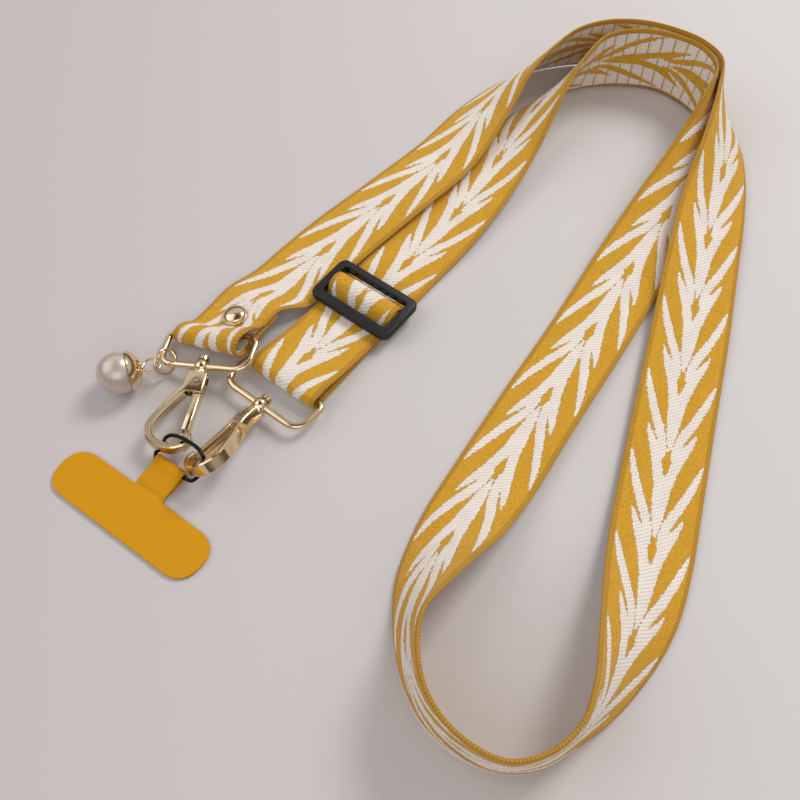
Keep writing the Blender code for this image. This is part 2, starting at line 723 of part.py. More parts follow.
def make_gate(number, matrix):
    """One gate about its pin: tongue for the cheek block's slot, arm and stepped tip."""
    outer = -CHEEK_WIDTH / 2 - GATE_SIDE
    arm_start = CHEEK_START + CHEEK_LENGTH + GAP - GATE_START
    end = BAIL_DEPTH + GATE_REACH - GATE_START
    arm = box_mesh((outer, arm_start, -GATE_DEPTH / 2), (outer + GATE_WIDTH, end - 0.0022, GATE_DEPTH / 2),
                   0.0004)
    tip = box_mesh((outer + 0.0008, end - 0.0030, -GATE_DEPTH / 2 + 0.0003),
                   (outer + GATE_WIDTH - 0.0002, end, GATE_DEPTH / 2 - 0.0003))
    tongue = box_mesh((outer, 0.0, -TONGUE_DEPTH / 2),
                      (outer + GATE_WIDTH + 0.0006, arm_start + 0.001, TONGUE_DEPTH / 2))
    knuckle = cylinder_mesh((0, 0, -TONGUE_DEPTH / 2), (0, 0, TONGUE_DEPTH / 2), 0.0018, 12)
    pin = cylinder_mesh((0, 0, -HOOK_DEPTH / 2 - 0.0001), (0, 0, HOOK_DEPTH / 2 + 0.0001), PIN_RADIUS, 12)
    gate = combine(f"gate_{number}", "gold", arm, [("UNION", tip), ("UNION", tongue), ("UNION", knuckle),
                                                  ("UNION", pin)])
    place_with_tools(gate, matrix @ Matrix.Translation((GATE_SIDE, GATE_START, 0.0)))


def hook_frame(place, height, heading_deg, pitch_deg, turn_deg, yaw_deg=0.0):
    """Matrix of a hook: X across, Y from the bail's bar to the nose, turned about Y and
    then yawed about the middle of the bail's bore."""
    matrix = Matrix.Translation(place + UP * height)
    matrix @= Matrix.Rotation(math.radians(heading_deg - 90.0), 4, "Z")
    matrix @= Matrix.Rotation(math.radians(pitch_deg), 4, "X")
    bore = Matrix.Translation((0.0, BAIL_DEPTH, 0.0))
    matrix @= bore @ Matrix.Rotation(math.radians(yaw_deg), 4, "Z") @ bore.inverted()
    return matrix @ Matrix.Rotation(math.radians(turn_deg), 4, "Y")


def make_hooks():
    """Both bails with their hooks and gates."""
    origin, _, _, normal = fold_frame()
    rise = origin[2] + (BAIL_WIRE + WEBBING_THICKNESS) / 2 + GAP
    first = dict(place=plan(BAIL_1_PLACE), height=rise, heading_deg=BAIL_1_PLACE["heading"],
                 pitch_deg=BAIL_1_PLACE["pitch"])
    slider_at, travel, _ = slider_frame()
    second = dict(place=slider_at + travel * SLIDER_TO_BAIL, height=BAIL_2_BAR_HEIGHT,
                  heading_deg=BAIL_2_HEADING, pitch_deg=BAIL_2_PITCH)
    for number, frame, bail_turn, hook_turn, yaw in ((1, first, RIVET_FOLD["roll"], 0.0, HOOK_1_YAW),
                                                     (2, second, 0.0, HOOK_2_TURN, 0.0)):
        make_bail(number, hook_frame(**frame, turn_deg=bail_turn))
        matrix = hook_frame(**frame, turn_deg=hook_turn, yaw_deg=yaw)
        make_hook(number, matrix)
        make_gate(number, matrix)


def closed_curve(rows, step):
    """Smooth closed curve through rows of points, without repeating its first point."""
    rows = [tuple(0.001 * v for v in row) for row in rows]
    count = len(rows)
    around = smooth_rows(rows[-2:] + rows + rows[:2], step)
    first = int(np.argmin(np.linalg.norm(around[:count * 3] - np.array(rows[0]), axis=1)))
    gaps = np.linalg.norm(around[first + count:] - around[first], axis=1)
    return [tuple(point) for point in around[first:first + count + int(np.argmin(gaps))]]


def make_tether_ring():
    """The black wire ring through both hooks and the tab's fold."""
    add_object("tether_ring", tube_mesh(closed_curve(RING_LINE, 0.0014), RING_WIRE / 2, True), "black_wire")


def tab_stations():
    """Distance towards the fold, height and half-width of the tab's middle surface."""
    low = TAB_THICKNESS / 2
    radius = RING_WIRE / 2 + GAP + TAB_THICKNESS / 2
    fold = TAB_BAR / 2 + TAB_STEM_LENGTH - radius - TAB_THICKNESS / 2
    upper = low + TAB_THICKNESS + GAP
    half = TAB_STEM / 2
    stations = [(fold - 0.0066, low, half), (fold - 0.0020, low, half)]
    for t in np.radians(np.linspace(-90.0, 90.0, 7)):
        stations.append((fold + radius * math.cos(t), low + radius + radius * math.sin(t), half))
    stations += [(fold - 0.0016, (low + 2 * radius + upper) / 2 + 0.0002, half), (fold - 0.0036, upper, half),
                 (fold - 0.0066, upper, half), (fold - 0.0084, (upper + low) / 2, half),
                 (TAB_BAR / 2 + 0.0006, low, half), (TAB_BAR / 2 + 0.0001, low, half + 0.0004)]
    for t in np.radians(np.linspace(0.0, 90.0, 5)):
        stations.append((TAB_BAR / 2 - TAB_CORNER * (1 - math.cos(t)), low,
                         TAB_LENGTH / 2 - TAB_CORNER * (1 - math.sin(t))))
    for t in np.radians(np.linspace(90.0, 0.0, 5)):
        stations.append((-TAB_BAR / 2 + TAB_CORNER * (1 - math.cos(t)), low,
                         TAB_LENGTH / 2 - TAB_CORNER * (1 - math.sin(t))))
    return stations


def make_tab():
    """The flat phone tab: one sheet whose stem folds back under itself over the ring."""
    columns = 7
    points = []
    for y, z, half in tab_stations():
        points += [(x * half, y, z) for x in np.linspace(-1.0, 1.0, columns)]
    faces = []
    for i in range(len(points) // columns - 1):
        for j in range(columns - 1):
            corner = i * columns + j
            faces.append((corner, corner + columns, corner + columns + 1, corner + 1))
    mesh = bpy.data.meshes.new("phone_tab")
    mesh.from_pydata(points, [], faces)
    shade(mesh, 50.0)
    tab = add_object("phone_tab", mesh, "tab")
    wall = tab.modifiers.new("thickness", "SOLIDIFY")
    wall.thickness = TAB_THICKNESS
    wall.offset = 0.0
    wall.use_even_offset = True
    tab.matrix_world = (Matrix.Translation((TAB_PLACE[0] * 0.001, TAB_PLACE[1] * 0.001, 0.0))
                        @ Matrix.Rotation(math.radians(TAB_TURN), 4, "Z"))


def make_charm():
    """The pearl, its cup-shaped cap with the eye, and the jump ring to the first bail."""
    place = (Matrix.Translation((PEARL_PLACE[0] * 0.001, PEARL_PLACE[1] * 0.001, PEARL_RADIUS + PEARL_LIFT))
             @ Matrix.Rotation(math.radians(PEARL_TURN), 4, "Z")
             @ Matrix.Rotation(math.radians(PEARL_DIP + 90.0), 4, "Y"))
    ball = bpy.data.meshes.new("pearl")
    work = bmesh.new()
    bmesh.ops.create_uvsphere(work, u_segments=24, v_segments=14, radius=PEARL_RADIUS)
    work.to_mesh(ball)
    work.free()
    shade(ball)
    pearl = add_object("pearl", ball, "pearl")
    pearl.matrix_world = place
    inner = PEARL_RADIUS + GAP
    outer = inner + CAP_WALL
    profile = [(0.0, outer)]
    rim_out = math.degrees(math.asin(CAP_START / outer))
    rim_in = math.degrees(math.asin(CAP_START / inner))
    profile += [(outer * math.cos(t), outer * math.sin(t)) for t in np.radians(np.linspace(78, rim_out, 6))]
    profile += [(inner * math.cos(t), inner * math.sin(t)) for t in np.radians(np.linspace(rim_in, 78, 6))]
    profile += [(0.0, inner)]
    shell = baked(turned("cap_shell", "gold", profile, 24))
    circle = [(0.0, EYE_RADIUS * math.sin(t), EYE_REACH + EYE_RADIUS * math.cos(t))
              for t in np.linspace(0.0, 2 * math.pi, 14, endpoint=False)]
    neck = cylinder_mesh((0, 0, inner + CAP_WALL / 2), (0, 0, EYE_REACH - EYE_RADIUS), EYE_WIRE, 10)
    cap = combine("pearl_cap", "gold", shell, [("UNION", neck), ("UNION", tube_mesh(circle, EYE_WIRE / 2, True))])
    place_with_tools(cap, place)
    circle = [(JUMP_RADIUS * math.cos(t), JUMP_RADIUS * math.sin(t), 0.0)
              for t in np.linspace(0.0, 2 * math.pi, 16, endpoint=False)]
    ring = add_object("jump_ring", tube_mesh(circle, JUMP_WIRE / 2, True), "gold")
    turn = Vector(JUMP_NORMAL).to_track_quat("Z", "Y").to_matrix().to_4x4()
    ring.matrix_world = Matrix.Translation([0.001 * v for v in JUMP_PLACE]) @ turn


def stand_at_origin():
    """Hang everything on one empty that puts the bottom middle of the box at the origin."""
    bpy.context.view_layer.update()
    graph = bpy.context.evaluated_depsgraph_get()
    points = []
    for item in parts.objects:
        shape = item.evaluated_get(graph)
        points += [shape.matrix_world @ vertex.co for vertex in shape.to_mesh().vertices]
        shape.to_mesh_clear()
    low = [min(point[axis] for point in points) for axis in range(3)]
    high = [max(point[axis] for point in points) for axis in range(3)]
    root = bpy.data.objects.new("laid_strap", None)
    root.empty_display_size = 0.02
    for item in list(parts.objects) + list(cutters.objects):
        item.parent = root
    parts.objects.link(root)
    root.location = (-(low[0] + high[0]) / 2, -(low[1] + high[1]) / 2, -low[2])
    bpy.context.view_layer.update()


clear_scene()
SHADERS = {key: material(*values) for key, values in MATERIALS.items()}
make_webbing()
make_rivet()
make_slider()
make_hooks()
make_tether_ring()
make_tab()
make_charm()
stand_at_origin()
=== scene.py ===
"""Looks of the phone crossbody strap: jacquard webbing with raised cream feathers, gold
hooks, black slider, pearl charm and mustard tab on a pale table.

Lengths are in metres, +Z is up, and the strap lies on z = 0.
"""
import json
import math

import bmesh
import bpy
import numpy as np
from mathutils import Matrix, Vector

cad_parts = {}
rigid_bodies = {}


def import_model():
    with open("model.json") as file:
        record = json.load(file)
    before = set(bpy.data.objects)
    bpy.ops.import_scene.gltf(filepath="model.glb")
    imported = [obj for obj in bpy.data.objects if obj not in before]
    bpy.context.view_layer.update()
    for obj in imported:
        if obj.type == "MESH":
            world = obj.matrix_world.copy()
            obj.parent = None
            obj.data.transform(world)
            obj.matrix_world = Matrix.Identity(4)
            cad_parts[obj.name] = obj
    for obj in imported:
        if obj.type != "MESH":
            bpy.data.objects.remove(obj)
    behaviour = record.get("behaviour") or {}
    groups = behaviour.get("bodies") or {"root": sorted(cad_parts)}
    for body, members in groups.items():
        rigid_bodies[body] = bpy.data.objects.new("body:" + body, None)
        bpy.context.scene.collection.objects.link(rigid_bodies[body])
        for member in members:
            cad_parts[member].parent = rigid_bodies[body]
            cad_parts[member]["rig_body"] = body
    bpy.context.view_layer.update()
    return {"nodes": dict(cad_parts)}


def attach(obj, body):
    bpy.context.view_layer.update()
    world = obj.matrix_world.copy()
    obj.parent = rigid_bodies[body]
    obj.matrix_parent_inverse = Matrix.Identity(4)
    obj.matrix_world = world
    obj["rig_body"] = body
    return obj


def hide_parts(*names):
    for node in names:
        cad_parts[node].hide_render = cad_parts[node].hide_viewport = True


for item in list(bpy.data.objects):
    bpy.data.objects.remove(item, do_unlink=True)
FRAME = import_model()

bl_info = {
    "name": "Phone crossbody strap",
    "version": (1, 0, 0),
    "blender": (4, 5, 0),
    "location": "3D View > Sidebar > Strap",
    "description": "Webbing, hardware and stage of a laid phone crossbody strap",
    "category": "Object",
}

ROOT_BODY = "laid_strap"
UP = np.array((0.0, 0.0, 1.0))

# Sizes of the solid model, in its own frame, and that frame's place in this one
GAP = 0.0003
WIDTH = 0.025
THICKNESS = 0.0013
LAID_WIDTH = 0.200
LAID_LENGTH = 0.270
LAYER = THICKNESS + GAP
SHIFT = np.array((0.000836, 0.003339, 0.000246))

# The route of the webbing, a row for each station along its middle line: place as shares
# of LAID_WIDTH and LAID_LENGTH, roll about the line of travel in degrees (plus lifts the
# right-hand edge), and height above the floor in layers of webbing.
ROUTE = (
    # x_share, y_share, roll_deg, layers
    (-0.2615, 0.0637, 4.0, 0.20),
    (-0.2175, 0.1035, 3.0, 0.00),
    (-0.171, 0.143, 3.2, 0.00),
    (-0.072, 0.218, 7, 0.00),
    (0.024, 0.293, 11, 0.00),
    (0.104, 0.374, 30, 0.00),
    (0.152, 0.416, 46, 0.00),
    (0.210, 0.451, 58, 0.00),
    (0.262, 0.470, 69, 0.00),
    (0.324, 0.479, 76, 0.00),
    (0.389, 0.474, 80, 0.00),
    (0.453, 0.452, 84, 0.00),
    (0.498, 0.420, 90, 0.00),
    (0.523, 0.385, 88, 0.00),
    (0.533, 0.344, 66, 0.10),
    (0.530, 0.305, 52, 0.30),
    (0.518, 0.265, 42, 0.50),
    (0.483, 0.183, 21, 0.70),
    (0.450, 0.103, 13, 0.60),
    (0.410, 0.001, 6, 0.30),
    (0.360, -0.119, 5, 0.00),
    (0.310, -0.240, 6, 0.00),
    (0.288, -0.294, 11, 0.00),
    (0.258, -0.357, 28, 0.00),
    (0.218, -0.417, 54, 0.00),
    (0.186, -0.456, 73, 0.00),
    (0.154, -0.483, 87, 0.00),
    (0.116, -0.503, 92, 0.00),
    (0.067, -0.510, 96, 0.00),
    (0.004, -0.489, 93, 0.00),
    (-0.032, -0.459, 88, 0.00),
    (-0.050, -0.421, 82, 0.00),
    (-0.053, -0.383, 74, 0.00),
    (-0.031, -0.330, 50, 0.00),
    (-0.002, -0.290, 34, 0.00),
    (0.027, -0.257, 19, 0.00),
    (0.059, -0.221, 10, 0.00),
    (0.152, -0.111, 5, 0.00),
    (0.253, 0.006, 2, 0.00),
    (0.323, 0.090, -4, 0.00),
    (0.411, 0.188, -18, 0.00),
    (0.456, 0.237, -30, 0.00),
    (0.492, 0.286, -43, 0.00),
    (0.509, 0.329, -64, 0.00),
    (0.508, 0.370, -90, 0.00),
    (0.487, 0.406, -97, 0.00),
    (0.439, 0.434, -93, 0.00),
    (0.377, 0.444, -92, 0.00),
    (0.317, 0.437, -85, 0.00),
    (0.268, 0.416, -69, 0.00),
    (0.201, 0.367, -45, 0.00),
    (0.133, 0.297, -19, 0.00),
    (0.084, 0.240, -9, 0.00),
    (0.013, 0.164, -3, 0.00),
)

# Where the fittings lie: plan place as shares, heading and turns in degrees
RIVET_FOLD = {"x": -0.3565, "y": -0.0248, "heading": 55.0, "roll": 10.5}
SLIDER_PLACE = {"x": -0.1205, "y": 0.0396, "heading": -127.5}
SLIDER_TO_BAIL = 0.0392
SLIDER_OPENING = 0.0125
BAIL_1_PLACE = {"x": -0.3600, "y": -0.0176, "heading": -103.0, "pitch": 0.3}
BAIL_2_HEADING = -128.0
BAIL_2_PITCH = 4.8
BAIL_2_LIFT = 0.0001

# Riveted fold, measured from the fold's middle towards the hook
FOLD_RIVET = -0.0110
FOLD_RIVET_SIDE = -0.0008
FOLD_REST = 0.0001
FOLD_FREE_END = -0.0190
FOLD_LINES = {
    "left": {"side": -0.50, "axis": 0.0034, "radius": 0.0026, "flat": -0.0036},
    "middle": {"side": 0.00, "axis": 0.0004, "radius": 0.0029, "flat": -0.0064},
    "right": {"side": 0.44, "axis": -0.0022, "radius": 0.0037, "flat": -0.0135},
}

# Heights through the slider
SLIDER_BAR_RADIUS = 0.0010
SLIDER_BAR_HEIGHT = 2 * LAYER + 0.0006

# Bails and rivet
BAIL_WIRE = 0.0022
BAIL_DEPTH = 0.0122
BAIL_SIDE_ROOM = 0.0016
BAIL_NEAR_CORNER = 0.0024
BAIL_FAR_CORNER = 0.0046
BOSS_RADIUS = 0.0024
BOSS_LENGTH = 0.0032
BOSS_WAIST_SHARE = 0.88
BOSS_EDGE = 0.0002
BORE_RADIUS = 0.0014
RIVET_CAP_RADIUS = 0.0042
RIVET_CAP_HEIGHT = 0.0019
RIVET_DOME_SHARE = 0.93
RIVET_FLANGE = 0.0005
RIVET_EDGE = 0.0001
RIVET_POST_RADIUS = 0.0015
RIVET_BACK_RADIUS = 0.0029
RIVET_BACK_HEIGHT = 0.0002

# Charm and rings
PEARL_RADIUS = 0.0067
PEARL_PLACE = (-0.0999, -0.0202, 0.0070)
PEARL_TURN = 17.5
PEARL_DIP = 3.0
CAP_WALL = 0.0005
CAP_START = 0.0034
EYE_RADIUS = 0.0026
EYE_WIRE = 0.0007
EYE_REACH = 0.0104
NECK_SHARE = 1.3
JUMP_RADIUS = 0.0040
JUMP_WIRE = 0.0009
JUMP_PLACE = (-0.0865, -0.0144, 0.0045)
JUMP_NORMAL = (-0.758, 0.492, -0.428)
RING_WIRE = 0.0012
RING_STEP = 0.0005

# Middle line of the tether ring
RING_LINE = (
    # x, y, z
    (-0.0809, -0.0506, 0.00170),
    (-0.0834, -0.0488, 0.00170),
    (-0.0856, -0.0472, 0.00170),
    (-0.0860, -0.0456, 0.00165),
    (-0.0849, -0.0441, 0.0019),
    (-0.0835, -0.0427, 0.0039),
    (-0.0820, -0.0428, 0.0066),
    (-0.0800, -0.0432, 0.0083),
    (-0.0776, -0.0441, 0.0088),
    (-0.0748, -0.0457, 0.0088),
    (-0.0716, -0.0482, 0.0088),
    (-0.0698, -0.0512, 0.0079),
    (-0.0702, -0.0530, 0.0058),
    (-0.0719, -0.0543, 0.0035),
    (-0.0741, -0.0551, 0.0020),
    (-0.0762, -0.0541, 0.00170),
    (-0.0784, -0.05245, 0.00170),
)

# The cream feathers of one repeat, right half: strokes of rows with distance from the
# middle as a share of the half-width, place along the repeat, and half-width of the
# stroke as a share of the half-width.
MOTIF = {
    # across, along, half_width
    "spine": (
        (0.00, -0.36, 0.20),
        (0.00, -0.49, 0.165),
        (0.00, -0.63, 0.125),
        (0.00, -0.76, 0.07),
        (0.00, -0.86, 0.01),
    ),
    "arm": (
        (0.08, -0.34, 0.10),
        (0.13, -0.20, 0.115),
        (0.20, -0.07, 0.11),
        (0.28, 0.07, 0.12),
        (0.36, 0.15, 0.11),
        (0.45, 0.23, 0.08),
        (0.53, 0.31, 0.05),
        (0.60, 0.40, 0.01),
    ),
    "feather": (
        (0.13, -0.94, 0.05),
        (0.17, -0.82, 0.08),
        (0.25, -0.70, 0.10),
        (0.35, -0.59, 0.105),
        (0.47, -0.48, 0.10),
        (0.58, -0.35, 0.09),
        (0.70, -0.21, 0.08),
        (0.80, -0.06, 0.05),
        (0.87, 0.06, 0.01),
    ),
}

# Where the pattern's repeats fall: distance along the webbing and repeats passed
PHASE = (
    # distance, repeats
    (0.0, -1.80),
    (0.0538, 0.0),
    (0.1434, 3.0),
    (0.3191, 9.0),
    (0.4675, 14.0),
    (0.6545, 20.0),
    (0.7445, 23.0),
    (0.9393, 30.0),
    (0.9970, 32.0),
    (1.1600, 37.6),
)

# The webbing's section: the selvages start at a share of the half-width and thin towards
# their edges, and the feathers' flanks rise over a short ramp.
SELVAGE_SHARE = 0.89
EDGE_SHARE = 0.06
EDGE_THINNING = 0.45
FLANK = 0.0004
FACE_LEVEL = 0.6
REVERSE_LEVEL = 0.4
SELVAGE_ROUNDNESS = 0.7
SELVAGE_STEPS = 7
OUTSIDE_MOTIF = -0.002

# Pitches of the weave. The real yarns are about 0.5 mm apart, and these are drawn coarser
# so that they show in a picture of the whole strap.
ROPE_PITCH = 0.00130
TWILL_PITCH = 0.00105
WEFT_PITCH = 0.00082
WARP_PITCH = 0.00085
RIB_PITCH = 0.00095
TIE_PITCH = 0.0046
TAB_WARP_PITCH = 0.00105
TAB_WEFT_PITCH = 0.00095
SELVAGE_BAND = (0.01105, 0.01135)

SMOOTH_ANGLE = 40.0
TAB_SMOOTH_ANGLE = 50.0
HOOK_BEVEL = 0.00012
GATE_BEVEL = 0.00010
STUDIO_PIXELS = 800
SENSOR_WIDTH = 36.0
CAMERA_PLACE = (-0.0126, -0.1857, 0.256)
TABLE_HALF = 3.0


def srgb(text):
    """Linear colour from an sRGB hex string."""
    value = [int(text[i:i + 2], 16) / 255.0 for i in (1, 3, 5)]
    linear = [v / 12.92 if v <= 0.04045 else ((v + 0.055) / 1.055) ** 2.4 for v in value]
    return tuple(linear) + (1.0,)


def smooth_rows(rows, step):
    """Catmull-Rom curve through rows of numbers: h00 P0 + h10 d m0 + h01 P1 + h11 d m1,
    with the chord length d of the first three columns as its parameter."""
    rows = np.asarray(rows, float)
    length = np.linalg.norm(np.diff(rows[:, :3], axis=0), axis=1)
    slope = np.diff(rows, axis=0) / length[:, None]
    tangent = np.empty_like(rows)
    tangent[0] = slope[0]
    tangent[-1] = slope[-1]
    weight = length[:-1] + length[1:]
    tangent[1:-1] = (slope[:-1] * length[1:, None] + slope[1:] * length[:-1, None]) / weight[:, None]
    samples = [rows[:1]]
    for k, span in enumerate(length):
        count = max(1, round(span / step))
        u = np.linspace(0.0, 1.0, count + 1)[1:, None]
        start = (2 * u**3 - 3 * u**2 + 1) * rows[k] + (u**3 - 2 * u**2 + u) * span * tangent[k]
        end = (3 * u**2 - 2 * u**3) * rows[k + 1] + (u**3 - u**2) * span * tangent[k + 1]
        samples.append(start + end)
    return np.vstack(samples)


def heading(degrees):
    """Unit vector on the floor."""
    return np.array((math.cos(math.radians(degrees)), math.sin(math.radians(degrees)), 0.0))


def right_of(direction):
    """The horizontal direction to the right of a direction of travel."""
    return np.array((direction[1], -direction[0], 0.0))


def plan(place):
    """A place given in shares, on the floor."""
    return np.array((place["x"] * LAID_WIDTH, place["y"] * LAID_LENGTH, 0.0))


def fold_profile(edge):
    """Free end, loop round the bail and upper layer: distance to the hook and height."""
    axis = edge["axis"]
    radius = edge["radius"]
    flat = edge["flat"]
    between = (flat + axis) / 2
    lower = [(FOLD_FREE_END, 0.0), (FOLD_RIVET - 0.0045, 0.0), (flat, 0.0), (between, 0.0)]
    turns = np.linspace(-math.pi / 2, math.pi / 2, 9)
    loop = [(axis + radius * math.cos(t), radius + radius * math.sin(t)) for t in turns]
    open_height = 2 * radius - LAYER
    upper = [
        (between, LAYER + 0.66 * open_height),
        (flat * 0.8 + axis * 0.2, LAYER + 0.17 * open_height),
        (flat, LAYER + 0.0001),
        (flat - 0.0008, LAYER),
        (FOLD_RIVET - 0.0045, LAYER),
        (FOLD_FREE_END - 0.0004, LAYER),
    ]
    return lower + loop + upper


def fold_frame():
    """Origin, direction of travel, rightward and normal directions of the riveted fold."""
    travel = heading(RIVET_FOLD["heading"])
    roll = math.radians(RIVET_FOLD["roll"])
    across = right_of(travel) * math.cos(roll) + UP * math.sin(roll)
    normal = UP * math.cos(roll) - right_of(travel) * math.sin(roll)
    lift = FOLD_REST + THICKNESS / 2 + WIDTH / 2 * math.sin(roll)
    return plan(RIVET_FOLD) + UP * lift, travel, across, normal


def fold_stations():
    """Left, middle and right points of the riveted fold, drawn in over its last 10 mm."""
    origin, travel, across, normal = fold_frame()
    lines = []
    for line in FOLD_LINES.values():
        points = []
        wide = round(line["side"], 1)
        for along, height in fold_profile(line):
            drawn_in = min(1.0, max(0.0, 1.0 + (along - line["axis"]) / 0.010))
            side = (line["side"] - wide) * drawn_in + wide
            points.append(origin - travel * along + across * side * WIDTH + normal * height)
        lines.append(points)
    return [np.concatenate(points) for points in zip(*lines)]


def route_stations():
    """Left, middle and right points at each row of the route."""
    rows = np.array(ROUTE)
    middle = np.column_stack((rows[:, 0] * LAID_WIDTH, rows[:, 1] * LAID_LENGTH, 0 * rows[:, 0]))
    length = np.linalg.norm(np.diff(middle, axis=0), axis=1)
    at = np.concatenate(([0.0], np.cumsum(length)))
    travel = np.gradient(middle, at, axis=0)
    travel /= np.linalg.norm(travel, axis=1)[:, None]
    right = np.column_stack((travel[:, 1], -travel[:, 0], 0 * at))
    roll = np.radians(rows[:, 2])
    rise = THICKNESS / 2 + rows[:, 3] * LAYER + WIDTH / 2 * np.abs(np.sin(roll))
    across = (right * np.cos(roll)[:, None] + UP * np.sin(roll)[:, None]) * WIDTH / 2
    centre = middle + UP * rise[:, None]
    return list(np.hstack((centre - across, centre, centre + across)))


def arc(centre, radius, start, end, steps):
    """Points of an arc in the slider's upright plane, angles in degrees."""
    turns = np.radians(np.linspace(start, end, steps))
    return [(centre[0] + radius * math.cos(t), centre[1] + radius * math.sin(t)) for t in turns]


def slider_profile():
    """Distance past the slider's middle bar and height of the webbing's middle surface,
    through the slider, round the second bail and back round the middle bar."""
    low = THICKNESS / 2
    bar = (0.0, SLIDER_BAR_HEIGHT)
    wrap = SLIDER_BAR_RADIUS + GAP + THICKNESS / 2
    hump = wrap + LAYER
    under = low + LAYER
    edge = SLIDER_OPENING / 2
    bail = (SLIDER_TO_BAIL, THICKNESS + 2 * GAP + BAIL_WIRE / 2 + BAIL_2_LIFT)
    turn = BAIL_WIRE / 2 + 2 * GAP + THICKNESS / 2
    points = [(-2.6 * edge, low), (-1.2 * edge, low), (-0.86 * edge, 1.9 * low)]
    points += arc(bar, hump, 188.0, 10.0, 10)
    points += [(0.83 * edge, under + GAP), (1.05 * edge, under), (2.4 * edge, under)]
    points += [(SLIDER_TO_BAIL * 0.72, (under + bail[1] + turn) / 2)]
    points += arc(bail, turn, 90.0, -90.0, 8)
    points += [(SLIDER_TO_BAIL * 0.72, low), (2.4 * edge, low), (1.3 * edge, low)]
    points += arc(bar, wrap, -90.0, -350.0, 12)
    return points


def slider_stations():
    """Left, middle and right points from the slider to the sewn end."""
    travel = heading(SLIDER_PLACE["heading"])
    half = right_of(travel) * WIDTH / 2
    stations = []
    for along, height in slider_profile():
        centre = plan(SLIDER_PLACE) + travel * along + UP * height
        stations.append(np.concatenate((centre - half, centre, centre + half)))
    return stations


def webbing_surface(step, columns):
    """Middle surface of the webbing, stations by columns, and the distance along it:
    centre + (right - left)/2 u + (left + right - 2 centre)/2 u^2, u from -1 to 1."""
    controls = np.array(fold_stations() + route_stations() + slider_stations())
    lines = smooth_rows(np.hstack((controls[:, 3:6], controls)), step)[:, 3:]
    left = lines[:, None, 0:3]
    centre = lines[:, None, 3:6]
    right = lines[:, None, 6:9]
    share = np.linspace(-1.0, 1.0, columns)[None, :, None]
    grid = centre + (right - left) / 2 * share + (left + right - 2 * centre) / 2 * share**2
    gap = np.linalg.norm(np.diff(lines[:, 3:6], axis=0), axis=1)
    return grid + SHIFT, np.concatenate(([0.0], np.cumsum(gap)))


def stroke_depth(across, along, rows, repeat):
    """How far inside a tapering stroke each point lies: max over its pieces of
    half-width(t) - distance to the piece at t, in metres."""
    half = WIDTH / 2
    best = np.full(across.shape, -1.0)
    for a, b in zip(rows[:-1], rows[1:]):
        x0, y0, w0 = a[0] * half, a[1] * repeat, a[2] * half
        x1, y1, w1 = b[0] * half, b[1] * repeat, b[2] * half
        dx = x1 - x0
        dy = y1 - y0
        t = np.clip(((across - x0) * dx + (along - y0) * dy) / (dx * dx + dy * dy), 0.0, 1.0)
        distance = np.hypot(across - x0 - t * dx, along - y0 - t * dy)
        best = np.maximum(best, w0 + (w1 - w0) * t - distance)
    return best


def motif_depth(share, passed, repeat):
    """Signed depth in metres inside the cream feathers: the largest depth over the strokes
    of this repeat and its two neighbours, mirrored about the middle line."""
    across = np.abs(share) * WIDTH / 2
    phase = -passed - np.floor(-passed)
    best = np.full(across.shape, -1.0)
    for rows in MOTIF.values():
        for turn in (-1, 0, 1):
            best = np.maximum(best, stroke_depth(across, (phase - 1 + turn) * repeat, rows, repeat))
    return best


def bail_matrix(number):
    """Matrix of a bail: X along its bar, Y towards its boss, zero on the bar's middle."""
    if number == 1:
        rise = fold_frame()[0][2] + (BAIL_WIRE + THICKNESS) / 2 + GAP
        place = plan(BAIL_1_PLACE) + UP * rise
        turns = (BAIL_1_PLACE["heading"], BAIL_1_PLACE["pitch"], RIVET_FOLD["roll"])
    else:
        travel = heading(SLIDER_PLACE["heading"])
        rise = THICKNESS + GAP + BAIL_WIRE / 2 + BAIL_2_LIFT
        place = plan(SLIDER_PLACE) + travel * SLIDER_TO_BAIL + UP * rise
        turns = (BAIL_2_HEADING, BAIL_2_PITCH, 0.0)
    matrix = Matrix.Translation(place + SHIFT)
    matrix @= Matrix.Rotation(math.radians(turns[0] - 90.0), 4, "Z")
    matrix @= Matrix.Rotation(math.radians(turns[1]), 4, "X")
    return matrix @ Matrix.Rotation(math.radians(turns[2]), 4, "Y")


def bail_line():
    """Middle line of the bail's wire: a rounded rectangle with its bar on the X axis."""
    half = WIDTH / 2 + BAIL_SIDE_ROOM + BAIL_WIRE / 2
    corners = (
        # x, y, radius, first_angle
        (half, 0.0, BAIL_NEAR_CORNER, -90.0),
        (half, BAIL_DEPTH, BAIL_FAR_CORNER, 0.0),
        (-half, BAIL_DEPTH, BAIL_FAR_CORNER, 90.0),
        (-half, 0.0, BAIL_NEAR_CORNER, 180.0),
    )
    points = []
    for x, y, radius, start in corners:
        centre_x = x - math.copysign(radius, x)
        centre_y = y - radius if y else radius
        for t in np.radians(np.linspace(start, start + 90.0, 10)):
            points.append((centre_x + radius * math.cos(t), centre_y + radius * math.sin(t), 0.0))
    return np.array(points)


def circle_line(radius, count):
    """Points of a circle in the XY plane."""
    turns = np.linspace(0.0, 2 * math.pi, count, endpoint=False)
    return np.column_stack((radius * np.cos(turns), radius * np.sin(turns), 0 * turns))


def closed_curve(rows, step):
    """Smooth closed curve through rows of points, without repeating its first point."""
    rows = np.array(rows)
    around = smooth_rows(np.vstack((rows[-3:], rows, rows[:3])), step)
    half = len(around) // 2
    distance = np.linalg.norm(around - rows[0], axis=1)
    return around[int(np.argmin(distance[:half])):half + int(np.argmin(distance[half:]))]


